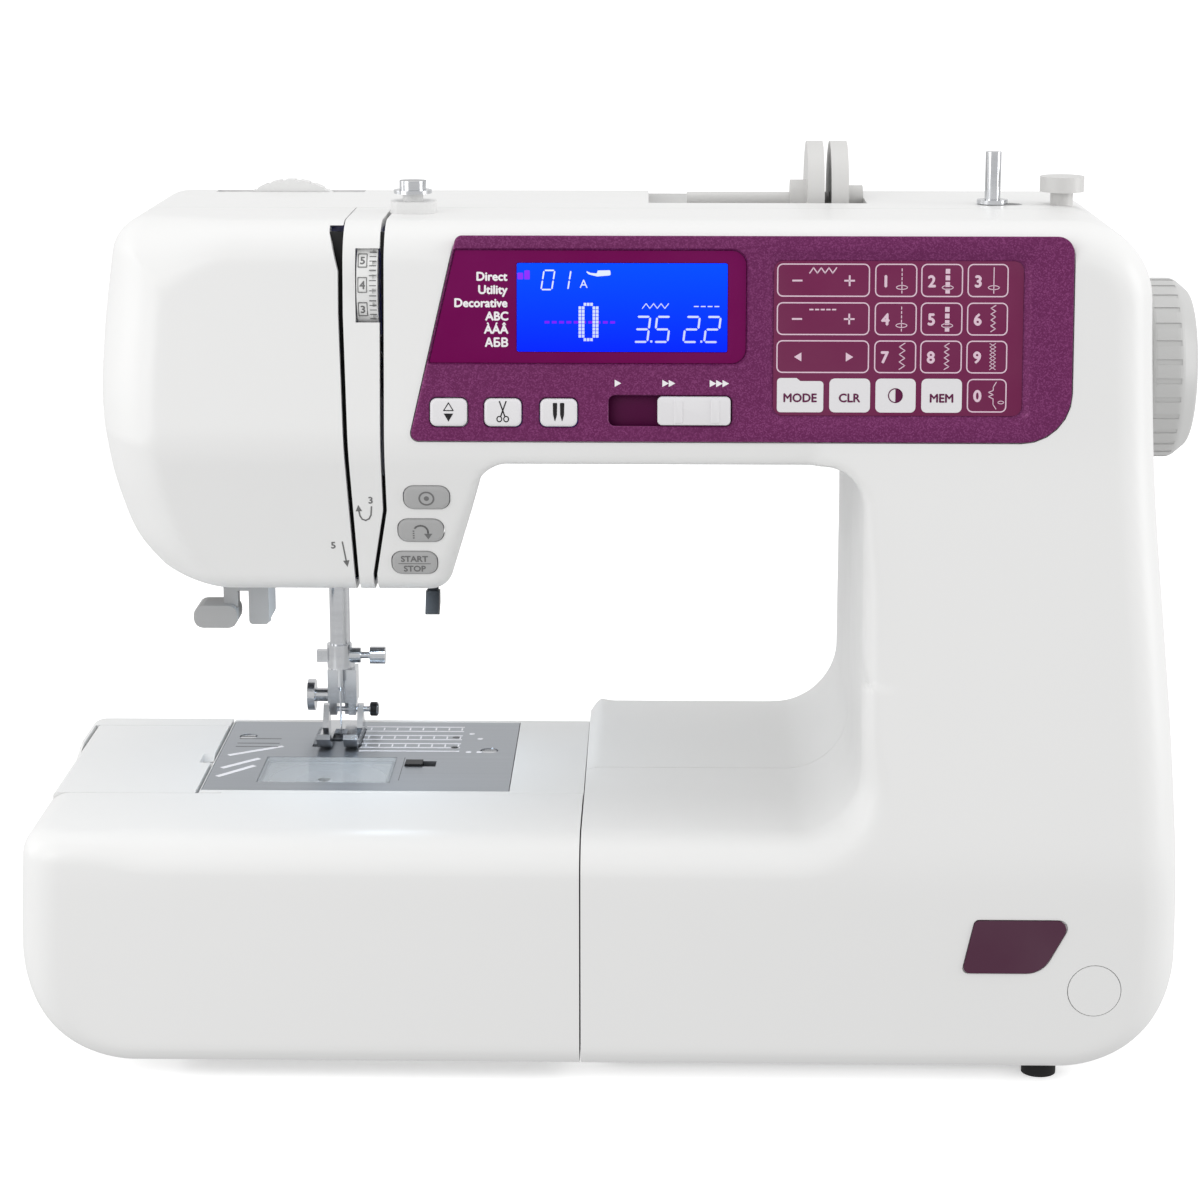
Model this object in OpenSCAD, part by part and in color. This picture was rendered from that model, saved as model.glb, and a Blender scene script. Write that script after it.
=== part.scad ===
// Computerised sewing machine: free-arm body, slide-off table, stitch mechanism
// and control panel. Millimetres, +Z up, the front faces -Y. The origin is on the
// table top under the middle of the machine.

/* [Body] */
// Height of the casing's lowest edge over the table top
base_z = 6; // [4:0.5:10]
// Height of the sewing bed
bed_z = 88; // [80:1:100]
// Height of the bed at its back, beside the column
bed_back_z = 96; // [88:1:104]
// Height of the top of the arm
top_z = 294; // [270:1:310]
// Height of the underside of the arm
arm_z = 213; // [200:1:225]
// Height of the underside of the head
head_z = 165; // [150:1:180]
// Front face of the base
front_y = -89.5; // [-95:0.5:-80]
// Back face of the column and arm
back_y = 78; // [70:1:85]
// Right side of the base
right_x = 195; // [180:1:200]
// Inner face of the column
column_x = 85.5; // [75:0.5:100]
// Left side of the head
head_x = -178.5; // [-185:0.5:-165]
// Plane where the front and the back casing meet
split_y = -4; // [-10:1:5]
// Thickness of the casing walls
wall = 3; // [2:0.5:4]

/* [Bed and table] */
// Left end of the slide-off table
table_x = -205; // [-215:1:-195]
// Seam between the table and the body
seam_x = -10; // [-20:1:0]
// Left end of the free arm
free_arm_x = -148.6; // [-155:0.2:-140]
// Front of the free arm
free_arm_y = -32.4; // [-40:0.2:-25]
// Back of the free arm
free_arm_back = 65.6; // [55:0.2:72]
// Underside of the free arm
free_arm_z = 30; // [20:1:40]

/* [Stitch mechanism] */
// Position of the needle from left to right
needle_x = -104; // [-110:0.5:-98]
// Position of the needle from front to back
needle_y = 35; // [30:0.5:40]
// Distance from the needle bar back to the presser bar
bar_gap = 11; // [10:0.5:14]
// Height of the main shaft
shaft_z = 236; // [230:1:245]
// Position of the main shaft from front to back
shaft_y = 10; // [0:1:20]
// Radius of the hand wheel
wheel_r = 32; // [28:1:36]
// Position of the hook and bobbin axis from front to back
hook_y = -4; // [-6:0.5:0]

/* [Display and keys] */
// Height of the crease where the control face starts
crease_z = 219; // [210:1:228]
// Front of the crease
crease_y = -64.2; // [-70:0.1:-60]
// Travel of each push button
press = 1; // [0.5:0.1:2]

/* [Hidden] */
face_tilt = 6.5;
head_tilt = 18.3;
top_y = crease_y + (top_z - crease_z) * tan(face_tilt);
toe_y = crease_y + (crease_z - head_z) * tan(head_tilt);
$fn = 48;
white = [0.93, 0.93, 0.92];
steel = [0.66, 0.67, 0.69];
dark = [0.12, 0.12, 0.13];
purple = [0.35, 0.11, 0.27];
alloy = [0.6, 0.61, 0.62];

// ---------------------------------------------------------------- helpers
// Turn a list of [x, y, corner radius] into a rounded polygon.
function unit2(v) = v / norm(v);
function corner(p, q, s, n) =
  q[2] <= 0 ? [[q[0], q[1]]] :
  let (o = [q[0], q[1]])
  let (a = unit2([p[0], p[1]] - o))
  let (b = unit2([s[0], s[1]] - o))
  let (h = acos(a * b) / 2)
  let (c = o + unit2(a + b) * q[2] / sin(h))
  let (u = o + a * q[2] / tan(h) - c)
  let (w = o + b * q[2] / tan(h) - c)
  let (a0 = atan2(u[1], u[0]))
  let (d0 = atan2(w[1], w[0]) - a0)
  let (d = d0 > 180 ? d0 - 360 : (d0 < -180 ? d0 + 360 : d0))
  [for (i = [0 : n]) c + q[2] * [cos(a0 + d * i / n), sin(a0 + d * i / n)]];
function soft(pts, n = 4) =
  let (m = len(pts))
  [for (i = [0 : m - 1]) each corner(pts[(i + m - 1) % m], pts[i], pts[(i + 1) % m], n)];
function less(r, t) = max(r - t, 0.5);

// Extrude a (Y, Z) drawing along X, an (X, Z) drawing along Y.
module along_x(x0, x1) {
  translate([x0, 0, 0]) rotate([90, 0, 90]) linear_extrude(x1 - x0) children();
}
module along_y(y0, y1) {
  translate([0, y1, 0]) rotate([90, 0, 0]) linear_extrude(y1 - y0) children();
}
module along_z(z0, z1) {
  translate([0, 0, z0]) linear_extrude(z1 - z0) children();
}
module block(a, b) {
  translate(a) cube([b[0] - a[0], b[1] - a[1], b[2] - a[2]]);
}
module rod_x(x0, x1, y, z, r) {
  along_x(x0, x1) translate([y, z]) circle(r = r);
}
module rod_y(y0, y1, x, z, r) {
  along_y(y0, y1) translate([x, z]) circle(r = r);
}
module rod_z(z0, z1, x, y, r) {
  along_z(z0, z1) translate([x, y]) circle(r = r);
}
// A rounded rectangle in 2-D, from corner to corner.
module pill(x0, y0, x1, y1, r, n = 4) {
  polygon(soft([[x0, y0, r], [x1, y0, r], [x1, y1, r], [x0, y1, r]], n));
}
// Local frames on the leaning control face and on the lower face of the head:
// x runs to the right, y up the face, z out of it.
module on_face() {
  translate([0, crease_y, crease_z]) rotate([90 - face_tilt, 0, 0]) children();
}
module on_head() {
  translate([0, toe_y, head_z]) rotate([90 + head_tilt, 0, 0]) children();
}

// ---------------------------------------------------------------- casing form
// The casing as a solid, drawn in by t on every side.
function bed_side(t) = soft([[front_y + t, base_z + t, less(8, t)],
  [front_y + t, bed_z - t, less(13, t)], [-20, bed_z - t, 20],
  [72 - t, bed_back_z - t, less(6, t)], [72 - t, base_z + t, less(8, t)]]);
function casing_side(t) = soft([[front_y + t, base_z + t, less(8, t)],
  [front_y + t, 76, 30], [crease_y + t, crease_z, 30],
  [top_y + t, top_z - t, less(14, t)], [back_y - 4 - t, top_z - t, less(16, t)],
  [back_y - t, 236, 30], [back_y - t, base_z + t, less(8, t)]]);
function arm_side(t) = soft([[toe_y + t, head_z + t, less(6, t)],
  [crease_y + t, crease_z, 6], [top_y + t, top_z - t, less(14, t)],
  [back_y - 4 - t, top_z - t, less(16, t)], [back_y - t, 236, 30],
  [back_y - 4 - t, head_z + t, less(10, t)]]);
function column_front(t) = soft([[60, base_z + t, 0], [right_x - t, base_z + t, less(42, t)],
  [right_x - t, 66, 40], [184.5 - t, 206, 60], [183 - t, top_z - t, less(26, t)],
  [60, top_z - t, 0], [60, arm_z + t, 0], [column_x + t, arm_z + t, less(13, t)],
  [column_x + t, bed_z + 4 - t, 22], [60, bed_z - t, 0]]);
function arm_front(t) = soft([[62, top_z - t, 0], [head_x + 8 + t, top_z - t, less(12, t)],
  [head_x + t, 236, 60], [head_x + 7 + t, 186, 30], [head_x + 22 + t, head_z + t, less(8, t)],
  [-54 - t, head_z + t, less(7, t)], [-43.5 - t, arm_z + t, 9], [62, arm_z + t, 0]]);
function body_plan(t) = soft([[50, front_y + t, 0], [right_x - t, front_y + t, less(16, t)],
  [right_x - t, back_y - t, less(16, t)], [50, back_y - t, 0]]);
function head_plan(t) = soft([[70, crease_y - 2 + t, 0],
  [head_x + t, crease_y - 2 + t, less(38, t)], [head_x + t, back_y - t, less(22, t)],
  [70, back_y - t, 0]], 6);

module column_form(t) {
  intersection() {
    along_y(-120, 120) polygon(column_front(t));
    along_x(40, 220) polygon(casing_side(t));
    along_z(0, 320) polygon(body_plan(t));
  }
}
module arm_form(t) {
  intersection() {
    along_y(-120, 120) polygon(arm_front(t));
    along_x(-200, 64) polygon(arm_side(t));
    along_z(100, 320) polygon(head_plan(t));
  }
}
module bed_form(t) {
  along_x(seam_x + t, 62) polygon(bed_side(t));
}
module base_skin() {
  difference() {
    union() {
      bed_form(0);
      column_form(0);
      arm_form(0);
    }
    bed_form(wall);
    column_form(wall);
    arm_form(wall);
    block([60, front_y + 12, arm_z + wall], [64, back_y - 6, top_z - wall - 4]);
    block([60, front_y + 12, 14], [64, 60, bed_z - wall - 3]);
    block([-2, -70, 0], [150, 60, 14]);
  }
}
// The two slanting thread slots cut the head into face cover, strip and casing.
module face_zone() {
  along_y(-120, split_y - 0.1) polygon([[-200, 100], [-87.8, 150], [-88.9, 165], [-90.6, 219],
    [-92, 264], [-92, 278], [-95.2, 291], [-95.2, 292.5], [-90.7, 292.5], [-90.7, 320],
    [-200, 320]]);
}
module strip_zone() {
  along_y(-120, split_y - 0.1) polygon([[-86.2, 150], [-82.6, 150], [-82.6, 172], [-78.2, 196],
    [-77.9, 300], [-90.3, 300], [-90.3, 264], [-89, 219], [-87.4, 165]]);
}

// ---------------------------------------------------------------- base and casing
module base_plate() {
  color([0.2, 0.2, 0.21]) difference() {
    union() {
      block([-1.6, -69.6, base_z], [149.6, 59.6, base_z + 3]);
      block([-146, -27, base_z], [0, 56, base_z + 5]);
      block([-9.5, -27, base_z + 5], [-4, 56, 31]);
      for (x = [20, 92, 120]) {
        block([x, -66, base_z + 3], [x + 3, 56, base_z + 9]);
      }
    }
    block([-13, -20, base_z + 8], [1, 50, 27]);
  }
}
module feet() {
  color(dark) {
    for (p = [[10, -58], [126, -58], [10, 48], [126, 48]]) {
      rod_z(0, base_z, p[0], p[1], 9);
    }
    rod_z(0, base_z, -128, 14, 9);
    for (y = [-73, 62]) {
      rod_z(0, base_z, 150, y, 6);
    }
  }
}
module front_cover() {
  color(white) difference() {
    intersection() {
      base_skin();
      along_y(-120, split_y - 0.1) polygon([[-81, 0], [-81.2, 150], [-81.2, 172], [-76.8, 196],
        [-76.4, 300], [220, 300], [220, 0]]);
    }
    // seat and opening of the control panel
    on_face() {
      along_z(-1.8, 5) polygon(soft([[-68.6, 2.3, 3], [155, 2.3, 17], [155, 71.9, 6],
        [-52.4, 71.9, 3]]));
      along_z(-6, 5) polygon(soft([[-64.2, 5.8, 2], [143, 5.8, 2], [143, 68, 2], [-49.6, 68, 2]]));
    }
    // openings of the three head keys
    on_head() {
      for (p = [[-63, 38], [-65.4, 25], [-68, 12.1]]) {
        along_z(-8, 4) pill(p[0] - 8.1, p[1] - 4.7, p[0] + 8.1, p[1] + 4.7, 3.6);
      }
    }
    // seats of the badge and of the round screw cap
    along_y(front_y - 4, front_y + 0.8) polygon(soft([[120.2, 42, 2], [148, 42, 9],
      [158.2, 61.4, 3], [124.4, 61.4, 2]]));
    rod_y(front_y - 4, front_y + 1.2, 166, 36, 9.2);
    // wall openings towards the free arm and for the tongue of the base plate
    block([-20, -20, 36], [0, 0, 82]);
    block([-20, -28, 0], [0, 0, 32]);
  }
}
module rear_cover() {
  color(white) difference() {
    union() {
      intersection() {
        base_skin();
        block([-200, split_y + 0.1, 0], [220, 100, 310]);
      }
      // trough that the thread spool lies in
      intersection() {
        rod_x(9, 93, 40, top_z - 1, 29);
        column_or_arm();
        block([0, 5, 250], [100, 75, 310]);
      }
      // ears of the carrying handle
      for (x = [-66.5, 126.5]) {
        along_x(x, x + 6) {
          polygon([[72, 276], [83, 278], [88, 283], [88, 286], [83, 289.5], [72, 289.5]]);
        }
      }
      rod_y(59.5, 76, -120.5, 272.5, 6);
    }
    rod_x(12, 90, 40, top_z - 1, 26);
    for (x = [-67, 126]) {
      rod_x(x, x + 7, 83, 284, 2.58);
    }
    rod_y(59, 72, -120.5, 272.5, 3.05);
    // slot of the foot-pressure dial, winder slot and stopper hole
    block([-148, 51.4, 280], [-93, 58.6, 310]);
    along_z(280, 310) pill(130, 8, 145, 16, 3.9);
    rod_z(280, 310, 158.8, 12, 4.05);
    // hand wheel shaft
    rod_x(175, 200, shaft_y, shaft_z, 9);
    // open underside of the head
    block([-160, split_y + 5, 150], [-60, 62, 175]);
    // presser lifter
    rod_y(60, 90, needle_x, 200, 4.3);
    // socket panel
    block([180, 20, 36], [200, 64, 92]);
    block([-20, -5, 35.5], [0, 61, 82]);
    block([-20, -5, 0], [0, 57, 32]);
  }
}
module column_or_arm() {
  union() {
    column_form(0);
    arm_form(0);
  }
}
module head_skin() {
  difference() {
    arm_form(0);
    arm_form(wall);
  }
}
module face_cover() {
  color(white) intersection() {
    head_skin();
    face_zone();
  }
}
module thread_strip() {
  color(white) difference() {
    intersection() {
      head_skin();
      strip_zone();
    }
    on_face() {
      block([-86.1, 42.4, -10], [-77, 67.2, 5]);
      block([-86.1, 40.6, -10], [-77, 69, -2]);
    }
  }
}

// ---------------------------------------------------------------- free arm and table
module free_arm_form(t) {
  intersection() {
    along_y(-60, 90) polygon(soft([[seam_x - 0.2, free_arm_z + t, 0],
      [free_arm_x + t, free_arm_z + t, less(16, t)], [free_arm_x + t, bed_z - t, 1],
      [seam_x - 0.2, bed_z - t, 0]]));
    along_x(-170, 0) polygon(soft([[free_arm_y + t, free_arm_z + t, less(12, t)],
      [free_arm_y + t, bed_z - t, 1], [free_arm_back - t, bed_z - t, 2],
      [free_arm_back - t, free_arm_z + t, less(12, t)]]));
  }
}
module free_arm_cover() {
  color(white) difference() {
    free_arm_form(0);
    difference() {
      free_arm_form(wall);
      block([-60, -40, 82], [-30, -20, 90]);
    }
    block([-147.9, -30.4, bed_z - 2], [-36.9, 60.9, bed_z + 2]);
    block([-143, -26, 70], [-42, 56, bed_z + 2]);
    block([-92, 60, 56], [-68, 70, 62]);
    block([-20, -26, 36], [0, 60, 82]);
  }
}
module table_form(t) {
  intersection() {
    along_y(-120, 90) polygon(soft([[seam_x - 0.4, base_z + t, 0],
      [table_x + t, base_z + t, less(38, t)], [table_x + t, 66, 30],
      [table_x + 2.5 + t, bed_z - t, less(9, t)], [seam_x - 0.4, bed_z - t, 0]]));
    along_x(-220, 0) polygon(soft([[front_y + t, base_z + t, less(8, t)],
      [front_y + t, bed_z - t, less(13, t)], [66 - t, bed_z - t, less(3, t)],
      [66 - t, base_z + t, less(8, t)]]));
    along_z(0, 100) polygon(soft([[0, front_y + t, 0], [table_x + t, front_y + t, less(18, t)],
      [table_x + t, 66 - t, less(10, t)], [0, 66 - t, 0]]));
  }
}
module extension_table() {
  color(white) difference() {
    table_form(0);
    // slot that the free arm slides into
    block([-149.2, -33, 0], [0, 80, 100]);
    // hollow of the long front part, open below
    intersection() {
      table_form(wall);
      block([-149.2, -90, 0], [seam_x - 0.4 - wall, -36, 100]);
    }
    block([-149.2, -82, 0], [-17, -39, 40]);
    // storage well at the left end
    intersection() {
      table_form(wall);
      block([-220, -90, 0], [-152.2, 80, 85.3]);
    }
    block([-196, -31.5, 80], [-152.2, 51.5, 100]);
    block([-199, -34.6, bed_z - 2.6], [-140, 54.6, bed_z + 5]);
    along_y(-34.6, 54.6) translate([-199, bed_z - 1.6]) circle(r = 1.75);
  }
}
module storage_lid() {
  color(white) union() {
    difference() {
      block([-199, -34.3, bed_z - 2.4], [-149.5, 54.3, bed_z]);
      rod_x(-153.5, -145, 10, bed_z + 4, 7);
    }
    along_y(-34.2, 54.2) translate([-199, bed_z - 1.6]) circle(r = 1.6);
  }
}
module needle_plate() {
  color(steel) difference() {
    block([-147.6, -30.1, bed_z - 2], [-37.2, 60.6, bed_z]);
    block([-127.5, -18.5, 80], [-82.5, 10.5, 90]);
    block([-129.2, -20.2, bed_z - 1.4], [-80.8, 12.2, 90]);
    block([-77.3, 0.5, 80], [-65.7, 7.5, 90]);
    // feed slots and the long needle hole
    for (x = [-113, -109.2, -100.6, -96.8]) {
      block([x - 1.1, 26, 80], [x + 1.1, 51, 90]);
    }
    block([needle_x - 2.2, 42, 80], [needle_x + 2.2, 51, 90]);
    along_z(80, 90) pill(-106.9, 33.2, -102.9, 36.8, 1.79);
    // fixing screws
    for (p = [[-140, 40], [-47, 22]]) {
      rod_z(bed_z - 1.2, 90, p[0], p[1], 3.4);
      rod_z(80, 90, p[0], p[1], 1.6);
    }
  }
}
module hook_cover_plate() {
  color([0.8, 0.82, 0.84, 0.4]) difference() {
    along_z(bed_z - 1.4, bed_z - 0.1) pill(-129, -20, -81, 12, 1);
    rod_z(80, 90, -105, -16.5, 2.4);
  }
}
module cover_release_button() {
  color(dark) union() {
    block([-77, 1, bed_z - 1.6], [-70.6, 7, bed_z + 0.8]);
    block([-77, 1, bed_z - 6], [-70.6, 7, bed_z - 1.6]);
  }
}
module bobbin_holder() {
  color(dark) difference() {
    rod_z(62, 84.5, -105, hook_y, 21.6);
    rod_z(68, 90, -105, hook_y, 11.2);
    block([-107, hook_y - 24, 76], [-103, hook_y - 8, 90]);
  }
}
module bobbin() {
  color([0.85, 0.87, 0.9]) difference() {
    union() {
      rod_z(69, 70.2, -105, hook_y, 10.3);
      rod_z(79.3, 80.5, -105, hook_y, 10.3);
      rod_z(69, 80.5, -105, hook_y, 4.4);
    }
    rod_z(60, 90, -105, hook_y, 3);
  }
}
module rotary_hook() {
  color(steel) difference() {
    union() {
      rod_z(56, 80, -105, hook_y, 24.4);
      rod_z(40, 56, -105, hook_y, 4);
      rod_z(42, 50, -105, hook_y, 11);
    }
    rod_z(59, 90, -105, hook_y, 22.4);
    block([-105, hook_y + 16, 70], [-96, hook_y + 28, 90]);
  }
}
module feed_dogs() {
  color(steel) difference() {
    union() {
      block([-115, 40, 74], [-93, 53, 82]);
      for (x = [-113, -109.2, -100.6, -96.8]) {
        block([x - 0.7, 28, 81], [x + 0.7, 50, bed_z + 0.7]);
      }
      block([needle_x - 1.6, 43.5, 81], [needle_x + 1.6, 50, bed_z + 0.7]);
    }
    for (y = [29 : 2 : 49]) {
      block([-120, y, bed_z + 0.1], [-90, y + 0.8, bed_z + 2]);
    }
  }
}
module drop_feed_lever() {
  color(dark) union() {
    block([-90, 60, 57.5], [-86, 68, 60.5]);
    along_y(66, 71) pill(-91.5, 54, -84.5, 64, 1.5);
  }
}

// ---------------------------------------------------------------- frame and drive
module main_frame() {
  color(alloy) difference() {
    union() {
      block([100, -30, 12], [106, 60, 262]);
      block([-88, 52, 218], [106, 60, 262]);
      for (x = [-70, 40]) {
        block([x, -2, 222], [x + 8, 60, 250]);
      }
      // bracket of the tension dial
      along_x(-70, -64) polygon([[4, 224], [4, 250], [-34, 279], [-47, 279], [-47, 264]]);
      // head web and the bushes of the two bars
      block([-88, 28, 172], [-84, 60, 262]);
      block([-88, 6, 224], [-84, 60, 250]);
      block([-111, 28, 174], [-84, 52, 182]);
      block([-111, 28, 236], [-84, 52, 244]);
      // lower beam in the free arm
      block([-140, 53, 36], [106, 60, 54]);
      block([-60, 34, 36], [-54, 60, 54]);
      // hook shaft bush
      block([-113, -14, 34], [-97, 56, 40]);
    }
    rod_x(-90, 110, shaft_y, shaft_z, 5.05);
    rod_x(-90, 110, 42, 45, 4.05);
    rod_x(95, 110, -35, 45, 6);
    rod_x(-72, -60, dial_cy(), dial_cz(), 2.55);
    rod_x(-90, -80, 14, shaft_z, 2.05);
    rod_z(170, 250, needle_x, needle_y, 3.55);
    rod_z(170, 250, needle_x, needle_y + bar_gap, 3.05);
    block([-120, 30, 183], [-89, 52, 235]);
  }
}
function dial_cy() = crease_y + 55 * sin(face_tilt) + 17 * cos(face_tilt);
function dial_cz() = crease_z + 55 * cos(face_tilt) - 17 * sin(face_tilt);
module upper_shaft() {
  color(steel) union() {
    rod_x(-80, 196, shaft_y, shaft_z, 5);
    rod_x(-82, -76, shaft_y, shaft_z, 15);
    rod_x(112, 120, shaft_y, shaft_z, 24);
    rod_x(130, 138, shaft_y, shaft_z, 12);
  }
}
module lower_shaft() {
  color(steel) union() {
    rod_x(-86, 142, 42, 45, 4);
    rod_x(130, 138, 42, 45, 12);
    rod_x(-84, -78, 42, 45, 9);
  }
}
module hand_wheel() {
  color(white) difference() {
    translate([0, shaft_y, shaft_z]) rotate([0, 90, 0]) rotate_extrude() {
      polygon(soft([[5.02, 185.5, 0], [8.5, 185.5, 0], [8.5, 188, 0], [wheel_r, 188, 2],
        [wheel_r, 199, 5], [wheel_r - 5, 205, 4], [5.02, 205, 0]]));
    }
    for (a = [0 : 12 : 359]) {
      translate([194, shaft_y, shaft_z]) rotate([a, 0, 0]) translate([0, wheel_r + 1.6, 0]) {
        cube([9, 4, 2], center = true);
      }
    }
  }
}
module motor() {
  color([0.3, 0.3, 0.32]) difference() {
    union() {
      rod_x(30, 96, -35, 45, 21);
      rod_x(96, 99.8, -35, 45, 9);
      block([40, -52, 9.2], [86, -18, 30]);
    }
    rod_x(90, 101, -35, 45, 3.05);
  }
}
module motor_pulley() {
  color(steel) union() {
    rod_x(91, 122, -35, 45, 3);
    rod_x(112, 120, -35, 45, 8);
  }
}
module belt_loop(p, q, r) {
  translate(p) circle(r = r);
  translate(q) circle(r = r);
  translate(p) rotate(atan2(q[1] - p[1], q[0] - p[0])) {
    translate([0, -r]) square([norm(q - p), 2 * r]);
  }
}
module timing_belt() {
  color(dark) along_x(130.5, 137.5) difference() {
    belt_loop([shaft_y, shaft_z], [42, 45], 13.6);
    belt_loop([shaft_y, shaft_z], [42, 45], 12.15);
  }
}

// ---------------------------------------------------------------- needle and presser
module needle_bar() {
  color(steel) rod_z(121, 258, needle_x, needle_y, 3.5);
}
module needle_clamp() {
  color(steel) difference() {
    union() {
      rod_z(117, 126, needle_x, needle_y, 4.7);
      rod_x(needle_x + 3, needle_x + 8, needle_y, 121.5, 2.9);
      block([-112.5, 33.5, 119], [-107, 36.5, 123.5]);
    }
    rod_z(121, 130, needle_x, needle_y, 3.52);
    rod_z(116, 122, needle_x, needle_y, 1.05);
    rod_x(needle_x + 4.9, needle_x + 9, needle_y, 121.5, 1.3);
  }
}
module needle_clamp_screw() {
  color(steel) union() {
    rod_x(needle_x + 5, needle_x + 13, needle_y, 121.5, 1.25);
    rod_x(needle_x + 11.6, needle_x + 17.3, needle_y, 121.5, 3.3);
  }
}
module needle() {
  color([0.75, 0.76, 0.78]) union() {
    rod_z(109, 121, needle_x, needle_y, 1.0);
    translate([needle_x, needle_y, 0]) rotate_extrude() {
      polygon([[0, 89.4], [0.15, 89.6], [0.42, 93], [0.42, 107.6], [1.0, 109], [0, 109]]);
    }
  }
}
module presser_bar() {
  color(steel) rod_z(114, 250, needle_x, needle_y + bar_gap, 3);
}
module foot_holder() {
  color(steel) difference() {
    union() {
      block([-109.5, 41, 101], [-98.5, 51, 114]);
      rod_z(114, 119, needle_x, needle_y + bar_gap, 4.6);
      block([-109, 42, 96], [-106.2, 50, 101]);
      block([-101.8, 42, 96], [-99, 50, 101]);
      // release lever of the snap-on foot, behind the hinge
      block([-104, 49, 94.4], [-100.4, 53.8, 103]);
      rod_x(-101, -94.2, 52.6, 95.6, 1.1);
      rod_x(-94.4, -91.6, 52.6, 95.6, 2.6);
    }
    rod_z(113, 120, needle_x, needle_y + bar_gap, 3.02);
    rod_x(-110, -98, 46, 97.4, 1.05);
    rod_x(-110, -104, 46, 103, 1.55);
  }
}
module foot_holder_screw() {
  color(steel) union() {
    rod_x(-117.4, -114.6, 46, 103, 6);
    rod_x(-114.6, -109.6, 46, 103, 2.6);
    rod_x(-109.6, -105, 46, 103, 1.5);
  }
}
module presser_foot() {
  color(steel) difference() {
    union() {
      // toes, turned up at the front
      for (s = [-1, 1]) {
        along_x(needle_x - 4 + s * 5 - 2.6 + 4, needle_x + s * 5 + 2.6) {
          polygon([[18, 93], [22, 89], [26, 88.8], [45.5, 88.8], [51, 89.4], [52, 91],
            [50, 91.4], [25, 91.4], [19.5, 94.6]]);
        }
      }
      block([needle_x - 7.6, 39, 88.8], [needle_x + 7.6, 45.5, 91.4]);
      block([needle_x - 7.6, 45, 89.4], [needle_x + 7.6, 50, 91.4]);
      for (s = [-1, 1]) {
        along_x(needle_x + s * 6.5 - 1.1, needle_x + s * 6.5 + 1.1) {
          polygon([[40, 91], [44.5, 99.4], [47.5, 99.4], [50, 91]]);
        }
      }
      rod_x(needle_x - 7, needle_x + 7, 46, 97.4, 1.0);
    }
    block([needle_x - 2.4, 10, 80], [needle_x + 2.4, 39, 93.9]);
  }
}
module presser_lifter() {
  color(dark) union() {
    rod_y(54, 86, needle_x, 200, 4);
    rod_y(54, 58.5, needle_x, 200, 8);
    along_y(79, 86) polygon(soft([[needle_x - 6, 204, 4], [needle_x - 5, 166, 4],
      [needle_x + 5, 166, 4], [needle_x + 6, 204, 4]]));
  }
}
module take_up_lever() {
  color(steel) difference() {
    union() {
      along_x(-92.4, -91.2) polygon(soft([[9, 231, 3], [19, 231, 3], [19, 241, 3],
        [-26, 267, 3], [-34, 264, 3], [-33, 258, 3]]));
      rod_x(-92.4, -84.2, 14, shaft_z, 2);
    }
    rod_x(-95, -90, -29, 262, 1.4);
  }
}
module threader_lever() {
  color([0.82, 0.82, 0.8]) union() {
    along_y(6, 20) pill(-154.2, 138.9, -138.2, 147.3, 3.4);
    block([-143.6, 10, 146], [-138.4, 16, 212]);
    block([-143, 10, 152], [-127, 14, 158]);
    along_y(10, 30) pill(-134.4, 139.4, -127, 165, 1.5);
    block([-132, 28, 136], [-129, 31, 143]);
  }
}
module buttonhole_lever() {
  color(dark) union() {
    block([-69.4, 24, 147], [-65.6, 27.5, 212]);
    along_x(-70, -65) polygon([[17, 142], [22, 140.5], [27.5, 144], [27.5, 149], [22, 149.5]]);
  }
}

// ---------------------------------------------------------------- dials and thread path
module tension_dial() {
  color(white) difference() {
    union() {
      rod_x(-85.6, -78.6, dial_cy(), dial_cz(), 18);
      rod_x(-87.4, -64.4, dial_cy(), dial_cz(), 2.5);
    }
    for (a = [0 : 15 : 359]) {
      translate([-79, dial_cy(), dial_cz()]) rotate([a, 0, 0]) translate([0, 18.4, 0]) {
        cube([2.6, 2, 1.6], center = true);
      }
    }
  }
}
module foot_pressure_dial() {
  color(white) difference() {
    union() {
      rod_y(52, 58, -120.5, 272.5, 26);
      rod_y(58, 70, -120.5, 272.5, 3);
    }
    for (a = [0 : 12 : 359]) {
      translate([-120.5, 55, 272.5]) rotate([0, a, 0]) translate([26.6, 0, 0]) {
        cube([2, 8, 1.8], center = true);
      }
    }
  }
}
module bobbin_thread_guide() {
  color(white) union() {
    along_z(top_z, top_z + 4) pill(-77, -26, -61.4, -12, 4);
    rod_z(top_z + 4, top_z + 6.6, -69.4, -19, 3.6);
  }
}
module pretension_disc() {
  color(steel) difference() {
    union() {
      rod_z(top_z + 6.6, top_z + 7.8, -69.4, -19, 6.6);
      rod_z(top_z + 7.8, top_z + 11, -69.4, -19, 4.6);
    }
    block([-75, -19.6, top_z + 9.8], [-64, -18.4, top_z + 13]);
  }
}
module spool_pin() {
  color(white) union() {
    rod_x(26, 80, 40, top_z - 1, 2.5);
    rod_x(77.7, 83.9, 40, top_z - 1, 21);
    rod_x(83, 90, 40, top_z - 1, 5);
  }
}
module spool_cap() {
  color(white) difference() {
    union() {
      rod_x(69.3, 75.2, 40, top_z - 1, 21);
      rod_x(63.6, 70, 40, top_z - 1, 7);
    }
    rod_x(60, 78, 40, top_z - 1, 2.58);
  }
}
module winder_spindle() {
  color(steel) union() {
    rod_z(282, 312.6, 134.3, 12, 2.8);
    rod_z(294.3, 295.7, 134.3, 12, 5.5);
    rod_z(284, 289.5, 134.3, 12, 7);
  }
}
module winder_stopper() {
  color(white) union() {
    rod_z(290.5, 299, 158.8, 12, 4);
    rod_z(298.6, 304, 158.8, 12, 7.8);
  }
}
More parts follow.
